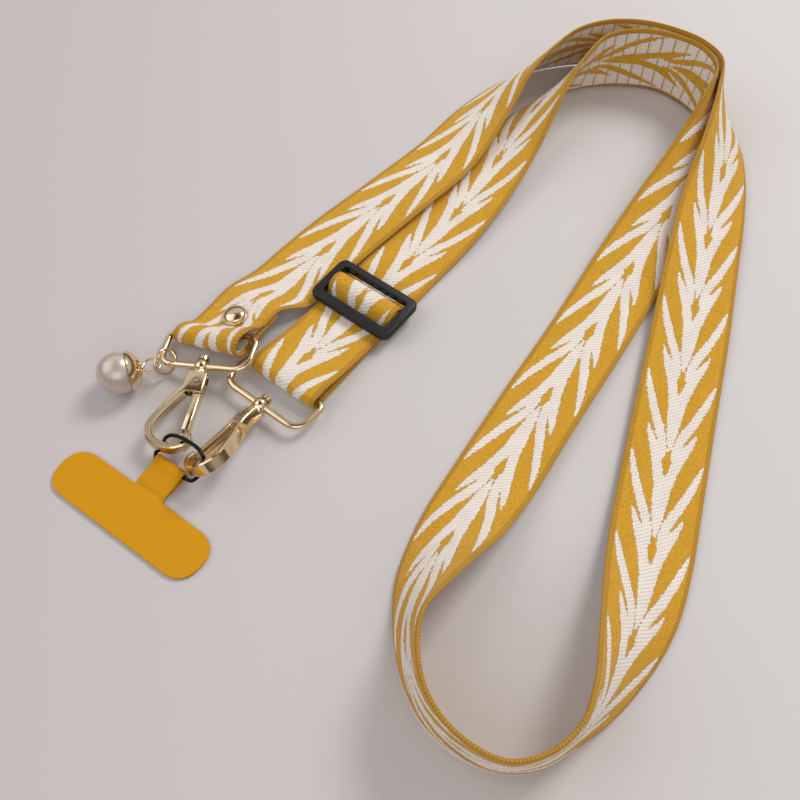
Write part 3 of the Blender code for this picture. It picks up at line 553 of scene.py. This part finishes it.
def closed_tube(line, radius, sides=20):
    """Round wire on a closed line: line + radius (cos a side + sin a up), the side direction
    carried along the line with its twist spread evenly. Returns points and faces."""
    travel = np.roll(line, -1, axis=0) - np.roll(line, 1, axis=0)
    travel /= np.linalg.norm(travel, axis=1)[:, None]
    side = np.empty_like(line)
    first = np.cross(travel[0], (0.3, 0.2, 1.0))
    side[0] = first / np.linalg.norm(first)
    for k in range(1, len(line)):
        carried = side[k - 1] - travel[k] * np.dot(side[k - 1], travel[k])
        side[k] = carried / np.linalg.norm(carried)
    closing = side[-1] - travel[0] * np.dot(side[-1], travel[0])
    closing /= np.linalg.norm(closing)
    twist = math.atan2(np.dot(np.cross(closing, side[0]), travel[0]), np.dot(closing, side[0]))
    up = np.cross(travel, side)
    share = np.arange(len(line)) / len(line) * twist
    turns = np.linspace(0.0, 2 * math.pi, sides, endpoint=False)[None, :] + share[:, None]
    ring = np.cos(turns)[..., None] * side[:, None] + np.sin(turns)[..., None] * up[:, None]
    points = line[:, None] + radius * ring
    i, j = np.meshgrid(np.arange(len(line)), np.arange(sides), indexing="ij")
    after = (i + 1) % len(line)
    beside = (j + 1) % sides
    faces = np.stack((after * sides + j, after * sides + beside, i * sides + beside, i * sides + j), axis=-1)
    return points.reshape(-1, 3), faces.reshape(-1, 4)


def turned(profile, steps=48):
    """Surface of revolution: (r cos a, r sin a, z) for each row of the profile, top to
    bottom down the outside. Returns points and faces."""
    rows = np.asarray(profile, float)
    turns = np.linspace(0.0, 2 * math.pi, steps, endpoint=False)
    heights = np.broadcast_to(rows[:, 1, None], (len(rows), steps))
    points = np.stack((rows[:, 0, None] * np.cos(turns), rows[:, 0, None] * np.sin(turns), heights), axis=-1)
    i, j = np.meshgrid(np.arange(len(rows) - 1), np.arange(steps), indexing="ij")
    beside = (j + 1) % steps
    after = i + 1
    faces = np.stack((i * steps + j, after * steps + j, after * steps + beside, i * steps + beside), axis=-1)
    return points.reshape(-1, 3), faces.reshape(-1, 4)


def grid_faces(stations, columns, flip):
    """Quads of a grid."""
    i, j = np.meshgrid(np.arange(stations - 1), np.arange(columns - 1), indexing="ij")
    corner = (i * columns + j).ravel()
    faces = np.stack((corner, corner + columns, corner + columns + 1, corner + 1), axis=1)
    return faces[:, ::-1] if flip else faces


def moved(shape, matrix):
    """A shape's points put through a matrix, with its faces."""
    points = np.c_[shape[0], np.ones(len(shape[0]))] @ np.array(matrix).T[:, :3]
    return points, shape[1]


def fitted(name, mesh, material, body):
    """An object for a finished mesh, riding on its body."""
    mesh.materials.clear()
    mesh.materials.append(material)
    made = bpy.data.objects.new(name, mesh)
    bpy.context.scene.collection.objects.link(made)
    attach(made, body)
    return made


def webbing_piece(name, points, faces, material, along, across, depth):
    """One face or edge of the webbing, with the attributes that its material reads."""
    mesh = bpy.data.meshes.new(name)
    mesh.from_pydata(points.reshape(-1, 3).tolist(), [], faces.tolist())
    mesh.shade_smooth()
    for key, values in (("along", along), ("across", across), ("depth", depth)):
        layer = mesh.attributes.new(key, "FLOAT", "POINT")
        layer.data.foreach_set("value", np.asarray(values, np.float32).ravel())
    return fitted(name, mesh, material, ROOT_BODY)


def hardware_piece(node, shapes, matrix, material, angle=SMOOTH_ANGLE):
    """One piece from several closed shapes, placed in its mesh, in place of a CAD node."""
    points = []
    faces = []
    count = 0
    for shape in shapes:
        placed, quads = moved(shape, matrix)
        points.append(placed)
        faces += (quads + count).tolist()
        count += len(placed)
    mesh = bpy.data.meshes.new(node + "_finished")
    mesh.from_pydata(np.vstack(points).tolist(), [], faces)
    work = bmesh.new()
    work.from_mesh(mesh)
    bmesh.ops.remove_doubles(work, verts=work.verts, dist=1e-7)
    bmesh.ops.recalc_face_normals(work, faces=work.faces)
    work.to_mesh(mesh)
    work.free()
    mesh.shade_smooth()
    mesh.set_sharp_from_angle(angle=math.radians(angle))
    made = fitted(node + "_finished", mesh, material, ROOT_BODY)
    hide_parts(node)
    return made


def smooth_copy(node, material, angle=SMOOTH_ANGLE, bevel=0.0):
    """A CAD node's mesh merged, with soft shading and, when a bevel is given, its edges rounded, in its place.
    """
    source = FRAME["nodes"][node]
    mesh = source.data.copy()
    mesh.name = node + "_finished"
    work = bmesh.new()
    work.from_mesh(mesh)
    bmesh.ops.remove_doubles(work, verts=work.verts, dist=2e-6)
    bmesh.ops.dissolve_limit(work, angle_limit=math.radians(0.6), verts=work.verts, edges=work.edges)
    work.to_mesh(mesh)
    work.free()
    mesh.shade_smooth()
    mesh.set_sharp_from_angle(angle=math.radians(angle))
    made = fitted(node + "_finished", mesh, material, source["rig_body"])
    if bevel:
        soften = made.modifiers.new("edges", "BEVEL")
        soften.width = bevel
        soften.segments = 2
        soften.limit_method = "ANGLE"
        soften.angle_limit = math.radians(angle)
        soften.harden_normals = True
    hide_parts(node)
    return made


def add_node(tree, kind, inputs=None, output=0, **settings):
    """Add a shader node with its settings, set or link its inputs by name or number, and
    return the output asked for."""
    node = tree.nodes.new("ShaderNode" + kind)
    for key, value in settings.items():
        setattr(node, key, value)
    for key, value in (inputs or {}).items():
        if isinstance(value, bpy.types.NodeSocket):
            tree.links.new(value, node.inputs[key])
        else:
            node.inputs[key].default_value = value
    return node.outputs[output]


def new_material(name, sockets):
    """A Principled material with constants on its sockets. Returns it, its tree and shader."""
    made = bpy.data.materials.new(name)
    made.use_nodes = True
    shader = made.node_tree.nodes["Principled BSDF"]
    for socket, value in sockets.items():
        shader.inputs[socket].default_value = value
    return made, made.node_tree, shader


def ridges(tree, distance, pitch):
    """Yarns side by side: sin(2 pi distance / pitch)."""
    turn = add_node(tree, "Math", {0: distance, 1: 2 * math.pi / pitch}, operation="MULTIPLY")
    return add_node(tree, "Math", {0: turn}, operation="SINE")


def webbing_material(finish, reverse=False):
    """Jacquard polyester: mustard ground and cream floats laid in slanting yarns."""
    # Woven spun yarn is matte, with a faint sheen where fibres catch the light
    sockets = {"Roughness": 0.92, "Specular IOR Level": 0.15, "Sheen Weight": 0.12, "Sheen Roughness": 0.6}
    made, tree, shader = new_material("jacquard_webbing" + ("_reverse" if reverse else ""), sockets)
    along = add_node(tree, "Attribute", output="Fac", attribute_name="along")
    across = add_node(tree, "Attribute", output="Fac", attribute_name="across")
    depth = add_node(tree, "Attribute", output="Fac", attribute_name="depth")
    place = add_node(tree, "CombineXYZ", {0: along, 1: across})

    # The floats end at whole yarns, so the feathers' edges are ragged by about half a millimetre
    fray = add_node(tree, "TexNoise", {"Vector": place, "Scale": 900.0, "Detail": 1.0}, "Fac")
    ragged = add_node(tree, "Math", {0: fray, 1: 0.0011, 2: -0.00034}, operation="MULTIPLY_ADD")
    inside = add_node(tree, "Math", {0: depth, 1: ragged}, operation="ADD")
    cream = add_node(tree, "MapRange", {0: inside, 1: -0.00012, 2: 0.00012})
    side = add_node(tree, "Math", {0: across}, operation="ABSOLUTE")
    selvage = add_node(tree, "MapRange", {0: side, 1: SELVAGE_BAND[0], 2: SELVAGE_BAND[1]})
    inner = add_node(tree, "Math", {0: 1.0, 1: selvage}, operation="SUBTRACT")
    cream = add_node(tree, "Math", {0: cream, 1: inner}, operation="MULTIPLY")
    if reverse:
        # Thin mustard ties hold the long floats on the back
        tie = add_node(tree, "MapRange", {0: ridges(tree, along, TIE_PITCH), 1: 0.86, 2: 0.96})
        free = add_node(tree, "Math", {0: tie, 1: -0.8, 2: 1.0}, operation="MULTIPLY_ADD")
        cream = add_node(tree, "Math", {0: cream, 1: free}, operation="MULTIPLY")

    # Twill specks in the ground, rope lines in the floats and ribs in the selvages
    slant = add_node(tree, "Math", {0: across, 1: -0.75, 2: along}, operation="MULTIPLY_ADD")
    lift = add_node(tree, "Math", {0: across, 1: 1.3, 2: along}, operation="MULTIPLY_ADD")
    rope = ridges(tree, slant, ROPE_PITCH)
    twill = ridges(tree, lift, TWILL_PITCH)
    weft = ridges(tree, along, WEFT_PITCH)
    warp = ridges(tree, across, WARP_PITCH)
    speck = add_node(tree, "TexNoise", {"Vector": place, "Scale": 1100.0, "Detail": 1.0}, "Fac")
    speck = add_node(tree, "Math", {0: speck, 1: 3.0, 2: -1.5}, operation="MULTIPLY_ADD")
    checks = add_node(tree, "Math", {0: twill, 1: weft}, operation="MULTIPLY")
    ground = add_node(tree, "Math", {0: checks, 1: 0.9, 2: speck}, operation="MULTIPLY_ADD")
    warp = add_node(tree, "Math", {0: warp, 1: 0.45}, operation="MULTIPLY")
    floats = add_node(tree, "Math", {0: rope, 1: 0.7, 2: warp}, operation="MULTIPLY_ADD")
    weave = add_node(tree, "Mix", {0: cream, 2: ground, 3: floats})
    weave = add_node(tree, "Mix", {0: selvage, 2: weave, 3: ridges(tree, along, RIB_PITCH)})

    # Uneven dye over a few millimetres, and painted shade and light: the weave darkens the colour in the
    # hollows between yarns and lightens it on their crowns
    tone = add_node(tree, "TexNoise", {"Vector": place, "Scale": 160.0, "Detail": 3.0}, "Fac")
    tone = add_node(tree, "Math", {0: tone, 1: 0.22, 2: 0.86}, operation="MULTIPLY_ADD")
    shade = add_node(tree, "Math", {0: weave, 1: 0.15, 2: tone}, operation="MULTIPLY_ADD")
    yarn = {0: selvage, 6: tuple(finish.mustard), 7: tuple(finish.selvage)}
    yarn = add_node(tree, "Mix", yarn, 2, data_type="RGBA")
    colour = add_node(tree, "Mix", {0: cream, 6: yarn, 7: tuple(finish.cream)}, 2, data_type="RGBA")
    colour = add_node(tree, "HueSaturation", {"Value": shade, "Color": colour})
    tree.links.new(colour, shader.inputs["Base Color"])
    raised = add_node(tree, "Math", {0: weave, 1: 0.12, 2: cream}, operation="MULTIPLY_ADD")
    bump = add_node(tree, "Bump", {"Height": raised, "Distance": 0.00045, "Strength": 0.75})
    tree.links.new(bump, shader.inputs["Normal"])
    return made


def plating_material(name, colour, roughness):
    """Polished plating on zinc alloy or wire, used again where it already exists."""
    if name in bpy.data.materials:
        return bpy.data.materials[name]
    # Barrel polishing leaves soft waves of a few millimetres and a slightly uneven gloss
    made, tree, shader = new_material(name, {"Base Color": tuple(colour), "Metallic": 1.0})
    place = add_node(tree, "TexCoord", output="Object")
    cloud = add_node(tree, "TexNoise", {"Vector": place, "Scale": 220.0, "Detail": 2.0}, "Fac")
    spread = {0: cloud, 1: 0.08, 2: roughness - 0.04}
    spread = add_node(tree, "Math", spread, operation="MULTIPLY_ADD")
    tree.links.new(spread, shader.inputs["Roughness"])
    bump = add_node(tree, "Bump", {"Height": cloud, "Distance": 0.0002, "Strength": 0.10})
    tree.links.new(bump, shader.inputs["Normal"])
    return made


def gold_material(finish):
    """The polished pale gold of the hooks, bails, rivet and charm."""
    return plating_material("champagne_gold_plating", finish.gold, 0.12)


def plastic_material(finish):
    """Black acetal as it leaves a lightly grained mould."""
    # The grain spreads highlights into a soft satin
    sockets = {"Base Color": tuple(finish.black), "Roughness": 0.48, "Specular IOR Level": 0.4}
    made, tree, shader = new_material("satin_black_acetal", sockets)
    place = add_node(tree, "TexCoord", output="Object")
    grain = add_node(tree, "TexNoise", {"Vector": place, "Scale": 1800.0, "Detail": 2.0}, "Fac")
    bump = add_node(tree, "Bump", {"Height": grain, "Distance": 0.0002, "Strength": 0.2})
    tree.links.new(bump, shader.inputs["Normal"])
    return made


def tab_material(finish):
    """Bonded mustard sheet with a fine weave, turned with the tab."""
    # The weave breaks up the light, so the sheet is matte and slightly speckled; the speckle is painted shade
    # in the weave's hollows and painted light on its crowns
    made, tree, shader = new_material("mustard_bonded_weave", {"Roughness": 0.8, "Specular IOR Level": 0.2})
    place = add_node(tree, "TexCoord", output="Object")
    turned_place = add_node(tree, "Mapping", {"Vector": place, "Rotation": (0.0, 0.0, math.radians(8.0))})
    first = add_node(tree, "SeparateXYZ", {0: turned_place}, "X")
    second = add_node(tree, "SeparateXYZ", {0: turned_place}, "Y")
    weave = {0: ridges(tree, first, TAB_WARP_PITCH), 1: ridges(tree, second, TAB_WEFT_PITCH)}
    weave = add_node(tree, "Math", weave, operation="MULTIPLY")
    shade = add_node(tree, "Math", {0: weave, 1: 0.14, 2: 0.96}, operation="MULTIPLY_ADD")
    colour = add_node(tree, "HueSaturation", {"Value": shade, "Color": tuple(finish.tab)})
    tree.links.new(colour, shader.inputs["Base Color"])
    bump = add_node(tree, "Bump", {"Height": weave, "Distance": 0.0001, "Strength": 0.25})
    tree.links.new(bump, shader.inputs["Normal"])
    return made


def pearl_material(finish):
    """Pearlescent lacquer dipped over a plastic bead."""
    # Mica in the lacquer gives a broad metallic glow under a clear, tinted top coat
    sockets = {
        "Base Color": tuple(finish.pearl),
        "Roughness": 0.3,
        "Metallic": 0.35,
        "Subsurface Weight": 0.05,
        "Subsurface Radius": (0.002, 0.0015, 0.001),
        "Coat Weight": 0.8,
        "Coat Roughness": 0.06,
        "Coat Tint": srgb("#F3E9E6"),
    }
    return new_material("pearl_lacquer", sockets)[0]


def table_material(finish):
    """Matte painted board, with painted shade darkening it towards the left, away from the key light."""
    made, tree, shader = new_material("pale_matte_table", {"Roughness": 0.75, "Specular IOR Level": 0.2})
    place = add_node(tree, "TexCoord", output="Object")
    across = add_node(tree, "SeparateXYZ", {0: place}, "X")
    # Painted shade: the colour runs from the shaded left to the lit right, with a little random tone from the
    # cloud
    right = add_node(tree, "MapRange", {0: across, 1: -0.16, 2: 0.20})
    cloud = add_node(tree, "TexNoise", {"Vector": place, "Scale": 5.0, "Detail": 2.0}, "Fac")
    right = add_node(tree, "Math", {0: cloud, 1: 0.1, 2: right}, operation="MULTIPLY_ADD")
    ends = {0: right, 6: tuple(finish.table_left_painted_shade), 7: tuple(finish.table_right)}
    tree.links.new(add_node(tree, "Mix", ends, 2, data_type="RGBA"), shader.inputs["Base Color"])
    return made


def colour_property(name, text, description):
    """A colour setting from its sRGB hex value."""
    return bpy.props.FloatVectorProperty(name=name, description=description, subtype="COLOR", size=4,
                                         min=0.0, max=1.0, default=srgb(text))


class StrapWebbingSettings(bpy.types.PropertyGroup):
    """Sizes of the webbing's mesh and pattern."""

    repeat: bpy.props.FloatProperty(
        name="Pattern repeat", description="Length of one repeat of the feathers", default=0.0297,
        min=0.01, precision=4, unit="LENGTH")
    relief: bpy.props.FloatProperty(
        name="Relief", description="How far the cream floats stand out", default=0.00016,
        min=0.0, precision=5, unit="LENGTH")
    step: bpy.props.FloatProperty(
        name="Step along", description="Length of one face along the webbing", default=0.00062,
        min=0.0003, precision=5, unit="LENGTH")
    columns: bpy.props.IntProperty(
        name="Columns", description="Mesh columns across the webbing", default=50, min=8, max=60)


class StrapFinishSettings(bpy.types.PropertyGroup):
    """Colours of the strap and the table."""

    mustard: colour_property("Mustard", "#D59F2B", "Ground yarn of the webbing")
    selvage: colour_property("Selvage", "#BC8A2A", "Ribbed edges of the webbing")
    cream: colour_property("Cream", "#EFE4DA", "Floats that draw the feathers")
    gold: colour_property("Gold", "#EBD3AC", "Plating of the hooks, bails, rivet and charm")
    black: colour_property("Slider", "#1B1A1C", "Moulded plastic of the slider")
    wire: colour_property("Tether ring", "#2A292C", "Plating of the tether ring")
    tab: colour_property("Tab", "#D8980F", "Sheet of the phone tab")
    pearl: colour_property("Pearl", "#D8D1C8", "Lacquer of the pearl")
    # The left table colour is the board's colour darkened by painted shade
    table_left_painted_shade: colour_property("Table, left", "#C6C0C1", "Table top on the left")
    table_right: colour_property("Table, right", "#DAD7D6", "Table top on the right")


class StrapStageSettings(bpy.types.PropertyGroup):
    """Camera and light."""

    lens_pixels: bpy.props.FloatProperty(
        name="Focal length", description="In pixels of the 800 pixel picture", default=965.0, min=100.0)
    elevation: bpy.props.FloatProperty(
        name="Camera elevation", description="Angle of the view above the table",
        default=math.radians(58.0), subtype="ANGLE")
    key_power: bpy.props.FloatProperty(
        name="Key light", description="Power of the main softbox", default=11.5, min=0.0, unit="POWER")
    surround: bpy.props.FloatProperty(
        name="Surround", description="Brightness of the studio around the strap", default=0.66, min=0.0)


class STRAP_OT_webbing(bpy.types.Operator):
    """Build the two faces and edges of the jacquard webbing"""

    bl_idname = "strap.webbing"
    bl_label = "Webbing"

    def execute(self, context):
        sizes = context.scene.strap_webbing
        finish = context.scene.strap_finish
        grid, distance = webbing_surface(sizes.step, sizes.columns)
        stations, columns, _ = grid.shape
        share = np.broadcast_to(np.linspace(-1.0, 1.0, columns), (stations, columns))
        passed = np.interp(distance, [row[0] for row in PHASE], [row[1] for row in PHASE])
        passed = np.broadcast_to(passed[:, None], (stations, columns))
        along = np.broadcast_to(distance[:, None], (stations, columns))
        across = share * WIDTH / 2
        depth = motif_depth(share, passed, sizes.repeat)
        lengthwise = np.gradient(grid, axis=0)
        crosswise = np.gradient(grid, axis=1)
        normal = np.cross(crosswise, lengthwise)
        normal /= np.linalg.norm(normal, axis=2)[:, :, None]

        # Half the thickness, thinner at the selvages, plus the relief of the floats
        edge = np.clip((1.0 - np.abs(share)) / EDGE_SHARE, 0.0, 1.0) ** 0.5
        raised = np.clip(depth / FLANK + 0.5, 0.0, 1.0) * (np.abs(share) < SELVAGE_SHARE)
        half = THICKNESS / 2 * (1.0 - EDGE_THINNING * (1.0 - edge))
        face = half + sizes.relief * (raised - FACE_LEVEL) * edge
        back = half - sizes.relief * (raised - REVERSE_LEVEL) * edge
        material = webbing_material(finish)
        upper = webbing_piece("webbing_face", grid + normal * face[:, :, None],
                              grid_faces(stations, columns, False), material, along, across, depth)
        webbing_piece("webbing_reverse", grid - normal * back[:, :, None],
                      grid_faces(stations, columns, True), webbing_material(finish, True),
                      along, across, -depth)
        for name, column, sign in (("webbing_left_selvage", 0, -1.0),
                                   ("webbing_right_selvage", columns - 1, 1.0)):
            outward = crosswise[:, column] / np.linalg.norm(crosswise[:, column], axis=1)[:, None] * sign
            high = half[:, column]
            turns = np.linspace(0.0, math.pi, SELVAGE_STEPS)
            rings = [grid[:, column] + normal[:, column] * (high * math.cos(t))[:, None]
                     + outward * (high * SELVAGE_ROUNDNESS * math.sin(t))[:, None] for t in turns]
            points = np.stack(rings, axis=1)
            size = points.shape[:2]
            webbing_piece(name, points, grid_faces(*size, column == 0), material,
                          np.broadcast_to(distance[:, None], size), np.full(size, sign * WIDTH / 2),
                          np.full(size, OUTSIDE_MOTIF))
        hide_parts("webbing")
        return {"FINISHED"}


class STRAP_OT_hooks(bpy.types.Operator):
    """Build both bails and finish the hooks and gates"""

    bl_idname = "strap.hooks"
    bl_label = "Hooks and bails"

    def execute(self, context):
        gold = gold_material(context.scene.strap_finish)
        waist = BOSS_RADIUS * BOSS_WAIST_SHARE
        boss = turned((
            (BORE_RADIUS, 0.0),
            (waist - BOSS_EDGE, 0.0),
            (waist, BOSS_EDGE),
            (BOSS_RADIUS, BOSS_LENGTH * 0.35),
            (BOSS_RADIUS, BOSS_LENGTH * 0.65),
            (waist, BOSS_LENGTH - BOSS_EDGE),
            (waist - BOSS_EDGE, BOSS_LENGTH),
            (BORE_RADIUS, BOSS_LENGTH),
            (BORE_RADIUS, 0.0),
        ))
        near = Matrix.Translation((0.0, BAIL_DEPTH - BOSS_LENGTH / 2, 0.0))
        boss = moved(boss, near @ Matrix.Rotation(math.radians(-90.0), 4, "X"))
        wire = closed_tube(bail_line(), BAIL_WIRE / 2)
        for number in (1, 2):
            hardware_piece(f"bail_{number}", (wire, boss), bail_matrix(number), gold)
            smooth_copy(f"hook_body_{number}", gold, bevel=HOOK_BEVEL)
            smooth_copy(f"gate_{number}", gold, bevel=GATE_BEVEL)
        return {"FINISHED"}


class STRAP_OT_fastenings(bpy.types.Operator):
    """Build the rivet and finish the slider and the phone tab"""

    bl_idname = "strap.fastenings"
    bl_label = "Rivet, slider and tab"

    def execute(self, context):
        finish = context.scene.strap_finish
        origin, travel, across, normal = fold_frame()
        top = LAYER + THICKNESS / 2 + GAP
        bottom = -THICKNESS / 2 - GAP
        rise = top + RIVET_FLANGE
        dome = RIVET_CAP_RADIUS * RIVET_DOME_SHARE
        turns = np.radians(np.linspace(90.0, 0.0, 14))
        profile = [(dome * math.cos(t), rise + RIVET_CAP_HEIGHT * math.sin(t)) for t in turns]
        profile += [
            (RIVET_CAP_RADIUS - RIVET_EDGE, rise),
            (RIVET_CAP_RADIUS, rise - RIVET_EDGE),
            (RIVET_CAP_RADIUS, top),
            (RIVET_POST_RADIUS, top),
            (RIVET_POST_RADIUS, bottom),
            (RIVET_BACK_RADIUS, bottom),
            (RIVET_BACK_RADIUS, bottom - RIVET_BACK_HEIGHT),
            (0.0, bottom - RIVET_BACK_HEIGHT),
        ]
        place = Matrix((Vector(-travel), Vector(across), Vector(normal))).transposed()
        if place.determinant() < 0:
            place = Matrix((Vector(travel), Vector(across), Vector(normal))).transposed()
        place = place.to_4x4()
        place.translation = Vector(origin - travel * FOLD_RIVET + across * FOLD_RIVET_SIDE + SHIFT)
        hardware_piece("rivet", (turned(profile),), place, gold_material(finish))
        smooth_copy("slider", plastic_material(finish))
        smooth_copy("phone_tab", tab_material(finish), TAB_SMOOTH_ANGLE)
        return {"FINISHED"}


class STRAP_OT_charm(bpy.types.Operator):
    """Build the pearl, its cap and eye, the jump ring and the tether ring"""

    bl_idname = "strap.charm"
    bl_label = "Pearl charm and rings"

    def execute(self, context):
        finish = context.scene.strap_finish
        gold = gold_material(finish)
        shift = Vector(SHIFT.tolist())
        place = Matrix.Translation(Vector(PEARL_PLACE) + shift)
        place @= Matrix.Rotation(math.radians(PEARL_TURN), 4, "Z")
        place @= Matrix.Rotation(math.radians(PEARL_DIP + 90.0), 4, "Y")
        turns = np.radians(np.linspace(90.0, -90.0, 40))
        ball = turned([(PEARL_RADIUS * math.cos(t), PEARL_RADIUS * math.sin(t)) for t in turns], 64)
        hardware_piece("pearl", (ball,), place, pearl_material(finish), 180.0)

        inner = PEARL_RADIUS + GAP
        outer = inner + CAP_WALL
        shell = []
        for radius, start, end in ((outer, 90.0, None), (inner, None, 90.0)):
            rim = math.degrees(math.asin(CAP_START / radius))
            turns = np.radians(np.linspace(start or rim, end or rim, 16))
            shell += [(radius * math.cos(t), radius * math.sin(t)) for t in turns]
        eye_line = circle_line(EYE_RADIUS, 40)[:, [2, 1, 0]] + (0.0, 0.0, EYE_REACH)
        neck = turned((
            (0.0, EYE_REACH - EYE_RADIUS),
            (EYE_WIRE, EYE_REACH - EYE_RADIUS),
            (EYE_WIRE * NECK_SHARE, outer),
            (EYE_WIRE * NECK_SHARE, inner + 0.0001),
            (0.0, inner + 0.0001),
        ), 20)
        cap = (turned(shell), closed_tube(eye_line, EYE_WIRE / 2, 14), neck)
        hardware_piece("pearl_cap", cap, place, gold)

        jump = closed_tube(circle_line(JUMP_RADIUS, 48), JUMP_WIRE / 2, 14)
        turn = Vector(JUMP_NORMAL).to_track_quat("Z", "Y").to_matrix().to_4x4()
        place = Matrix.Translation(Vector(JUMP_PLACE) + shift) @ turn
        hardware_piece("jump_ring", (jump,), place, gold)
        tether = closed_tube(closed_curve(RING_LINE, RING_STEP), RING_WIRE / 2)
        black = plating_material("black_nickel_wire", finish.wire, 0.22)
        hardware_piece("tether_ring", (tether,), Matrix.Translation(shift), black)
        return {"FINISHED"}


class STRAP_OT_stage(bpy.types.Operator):
    """Table, studio lights, surroundings and camera"""

    bl_idname = "strap.stage"
    bl_label = "Stage"

    def execute(self, context):
        stage = context.scene.strap_stage
        scene = context.scene
        mesh = bpy.data.meshes.new("table_top")
        corners = ((-1, -1), (1, -1), (1, 1), (-1, 1))
        mesh.from_pydata([(x * TABLE_HALF, y * TABLE_HALF, 0.0) for x, y in corners], [], [(0, 1, 2, 3)])
        mesh.materials.append(table_material(scene.strap_finish))
        table = bpy.data.objects.new("table_top", mesh)
        scene.collection.objects.link(table)

        # A warm softbox from the upper right, a cool fill from the left and one from the front
        for name, place, width, power, colour in (
                ("key", (0.75, 0.75, 1.10), 0.55, 1.00, (1.0, 0.98, 0.95)),
                ("fill", (-0.9, 0.1, 1.0), 1.2, 0.35, (0.96, 0.97, 1.0)),
                ("front", (0.1, -1.0, 0.9), 1.0, 0.25, (1.0, 1.0, 1.0))):
            light = bpy.data.lights.new(name, "AREA")
            light.size = width
            light.energy = stage.key_power * power
            light.color = colour
            lamp = bpy.data.objects.new(name, light)
            scene.collection.objects.link(lamp)
            lamp.location = place
            lamp.rotation_euler = (-lamp.location).to_track_quat("-Z", "Y").to_euler()

        # Bright walls and a darker floor and ceiling give the plating its light and dark bands
        world = bpy.data.worlds.new("studio")
        scene.world = world
        world.use_nodes = True
        tree = world.node_tree
        place = add_node(tree, "TexCoord", output="Generated")
        height = add_node(tree, "SeparateXYZ", {0: place}, "Z")
        height = add_node(tree, "Math", {0: height, 1: 0.5, 2: 0.5}, operation="MULTIPLY_ADD")
        band = add_node(tree, "ValToRGB", {0: height})
        stops = ((0.50, "#4A3B30"), (0.97, "#6E635A"), (0.60, "#8F8276"), (0.72, "#F4F1EE"), (0.86, "#FFFFFF"))
        ramp = band.node.color_ramp.elements
        for element, (position, colour) in zip(list(ramp), stops[:2]):
            element.position = position
            element.color = srgb(colour)
        for position, colour in stops[2:]:
            ramp.new(position).color = srgb(colour)
        background = tree.nodes["Background"]
        tree.links.new(band, background.inputs["Color"])
        background.inputs["Strength"].default_value = stage.surround

        camera = bpy.data.objects.new("camera", bpy.data.cameras.new("camera"))
        scene.collection.objects.link(camera)
        camera.data.sensor_width = SENSOR_WIDTH
        camera.data.lens = stage.lens_pixels / STUDIO_PIXELS * SENSOR_WIDTH
        camera.data.clip_start = 0.01
        camera.location = Vector(CAMERA_PLACE) + Vector(SHIFT.tolist())
        camera.rotation_euler = (math.pi / 2 - stage.elevation, 0.0, 0.0)
        scene.camera = camera
        scene.view_settings.view_transform = "Standard"
        return {"FINISHED"}


class STRAP_PT_panel(bpy.types.Panel):
    """Settings and one button for each operator."""

    bl_idname = "STRAP_PT_panel"
    bl_label = "Phone crossbody strap"
    bl_space_type = "VIEW_3D"
    bl_region_type = "UI"
    bl_category = "Strap"

    def draw(self, context):
        for name, kind in SETTINGS.items():
            settings = getattr(context.scene, name)
            for key in kind.__annotations__:
                self.layout.prop(settings, key)
        for operator in OPERATORS:
            self.layout.operator(operator.bl_idname)


SETTINGS = {
    "strap_webbing": StrapWebbingSettings,
    "strap_finish": StrapFinishSettings,
    "strap_stage": StrapStageSettings,
}
OPERATORS = (STRAP_OT_webbing, STRAP_OT_hooks, STRAP_OT_fastenings, STRAP_OT_charm, STRAP_OT_stage)
CLASSES = tuple(SETTINGS.values()) + OPERATORS + (STRAP_PT_panel,)


def register():
    """Register the classes and put the settings on the scene."""
    for kind in CLASSES:
        bpy.utils.register_class(kind)
    for name, kind in SETTINGS.items():
        setattr(bpy.types.Scene, name, bpy.props.PointerProperty(type=kind))


def unregister():
    """Take the settings off the scene and unregister the classes."""
    for name in SETTINGS:
        delattr(bpy.types.Scene, name)
    for kind in reversed(CLASSES):
        bpy.utils.unregister_class(kind)


def main():
    """Build every group on the frame."""
    register()
    bpy.ops.strap.webbing()
    bpy.ops.strap.hooks()
    bpy.ops.strap.fastenings()
    bpy.ops.strap.charm()
    bpy.ops.strap.stage()


if __name__ == "__main__":
    main()
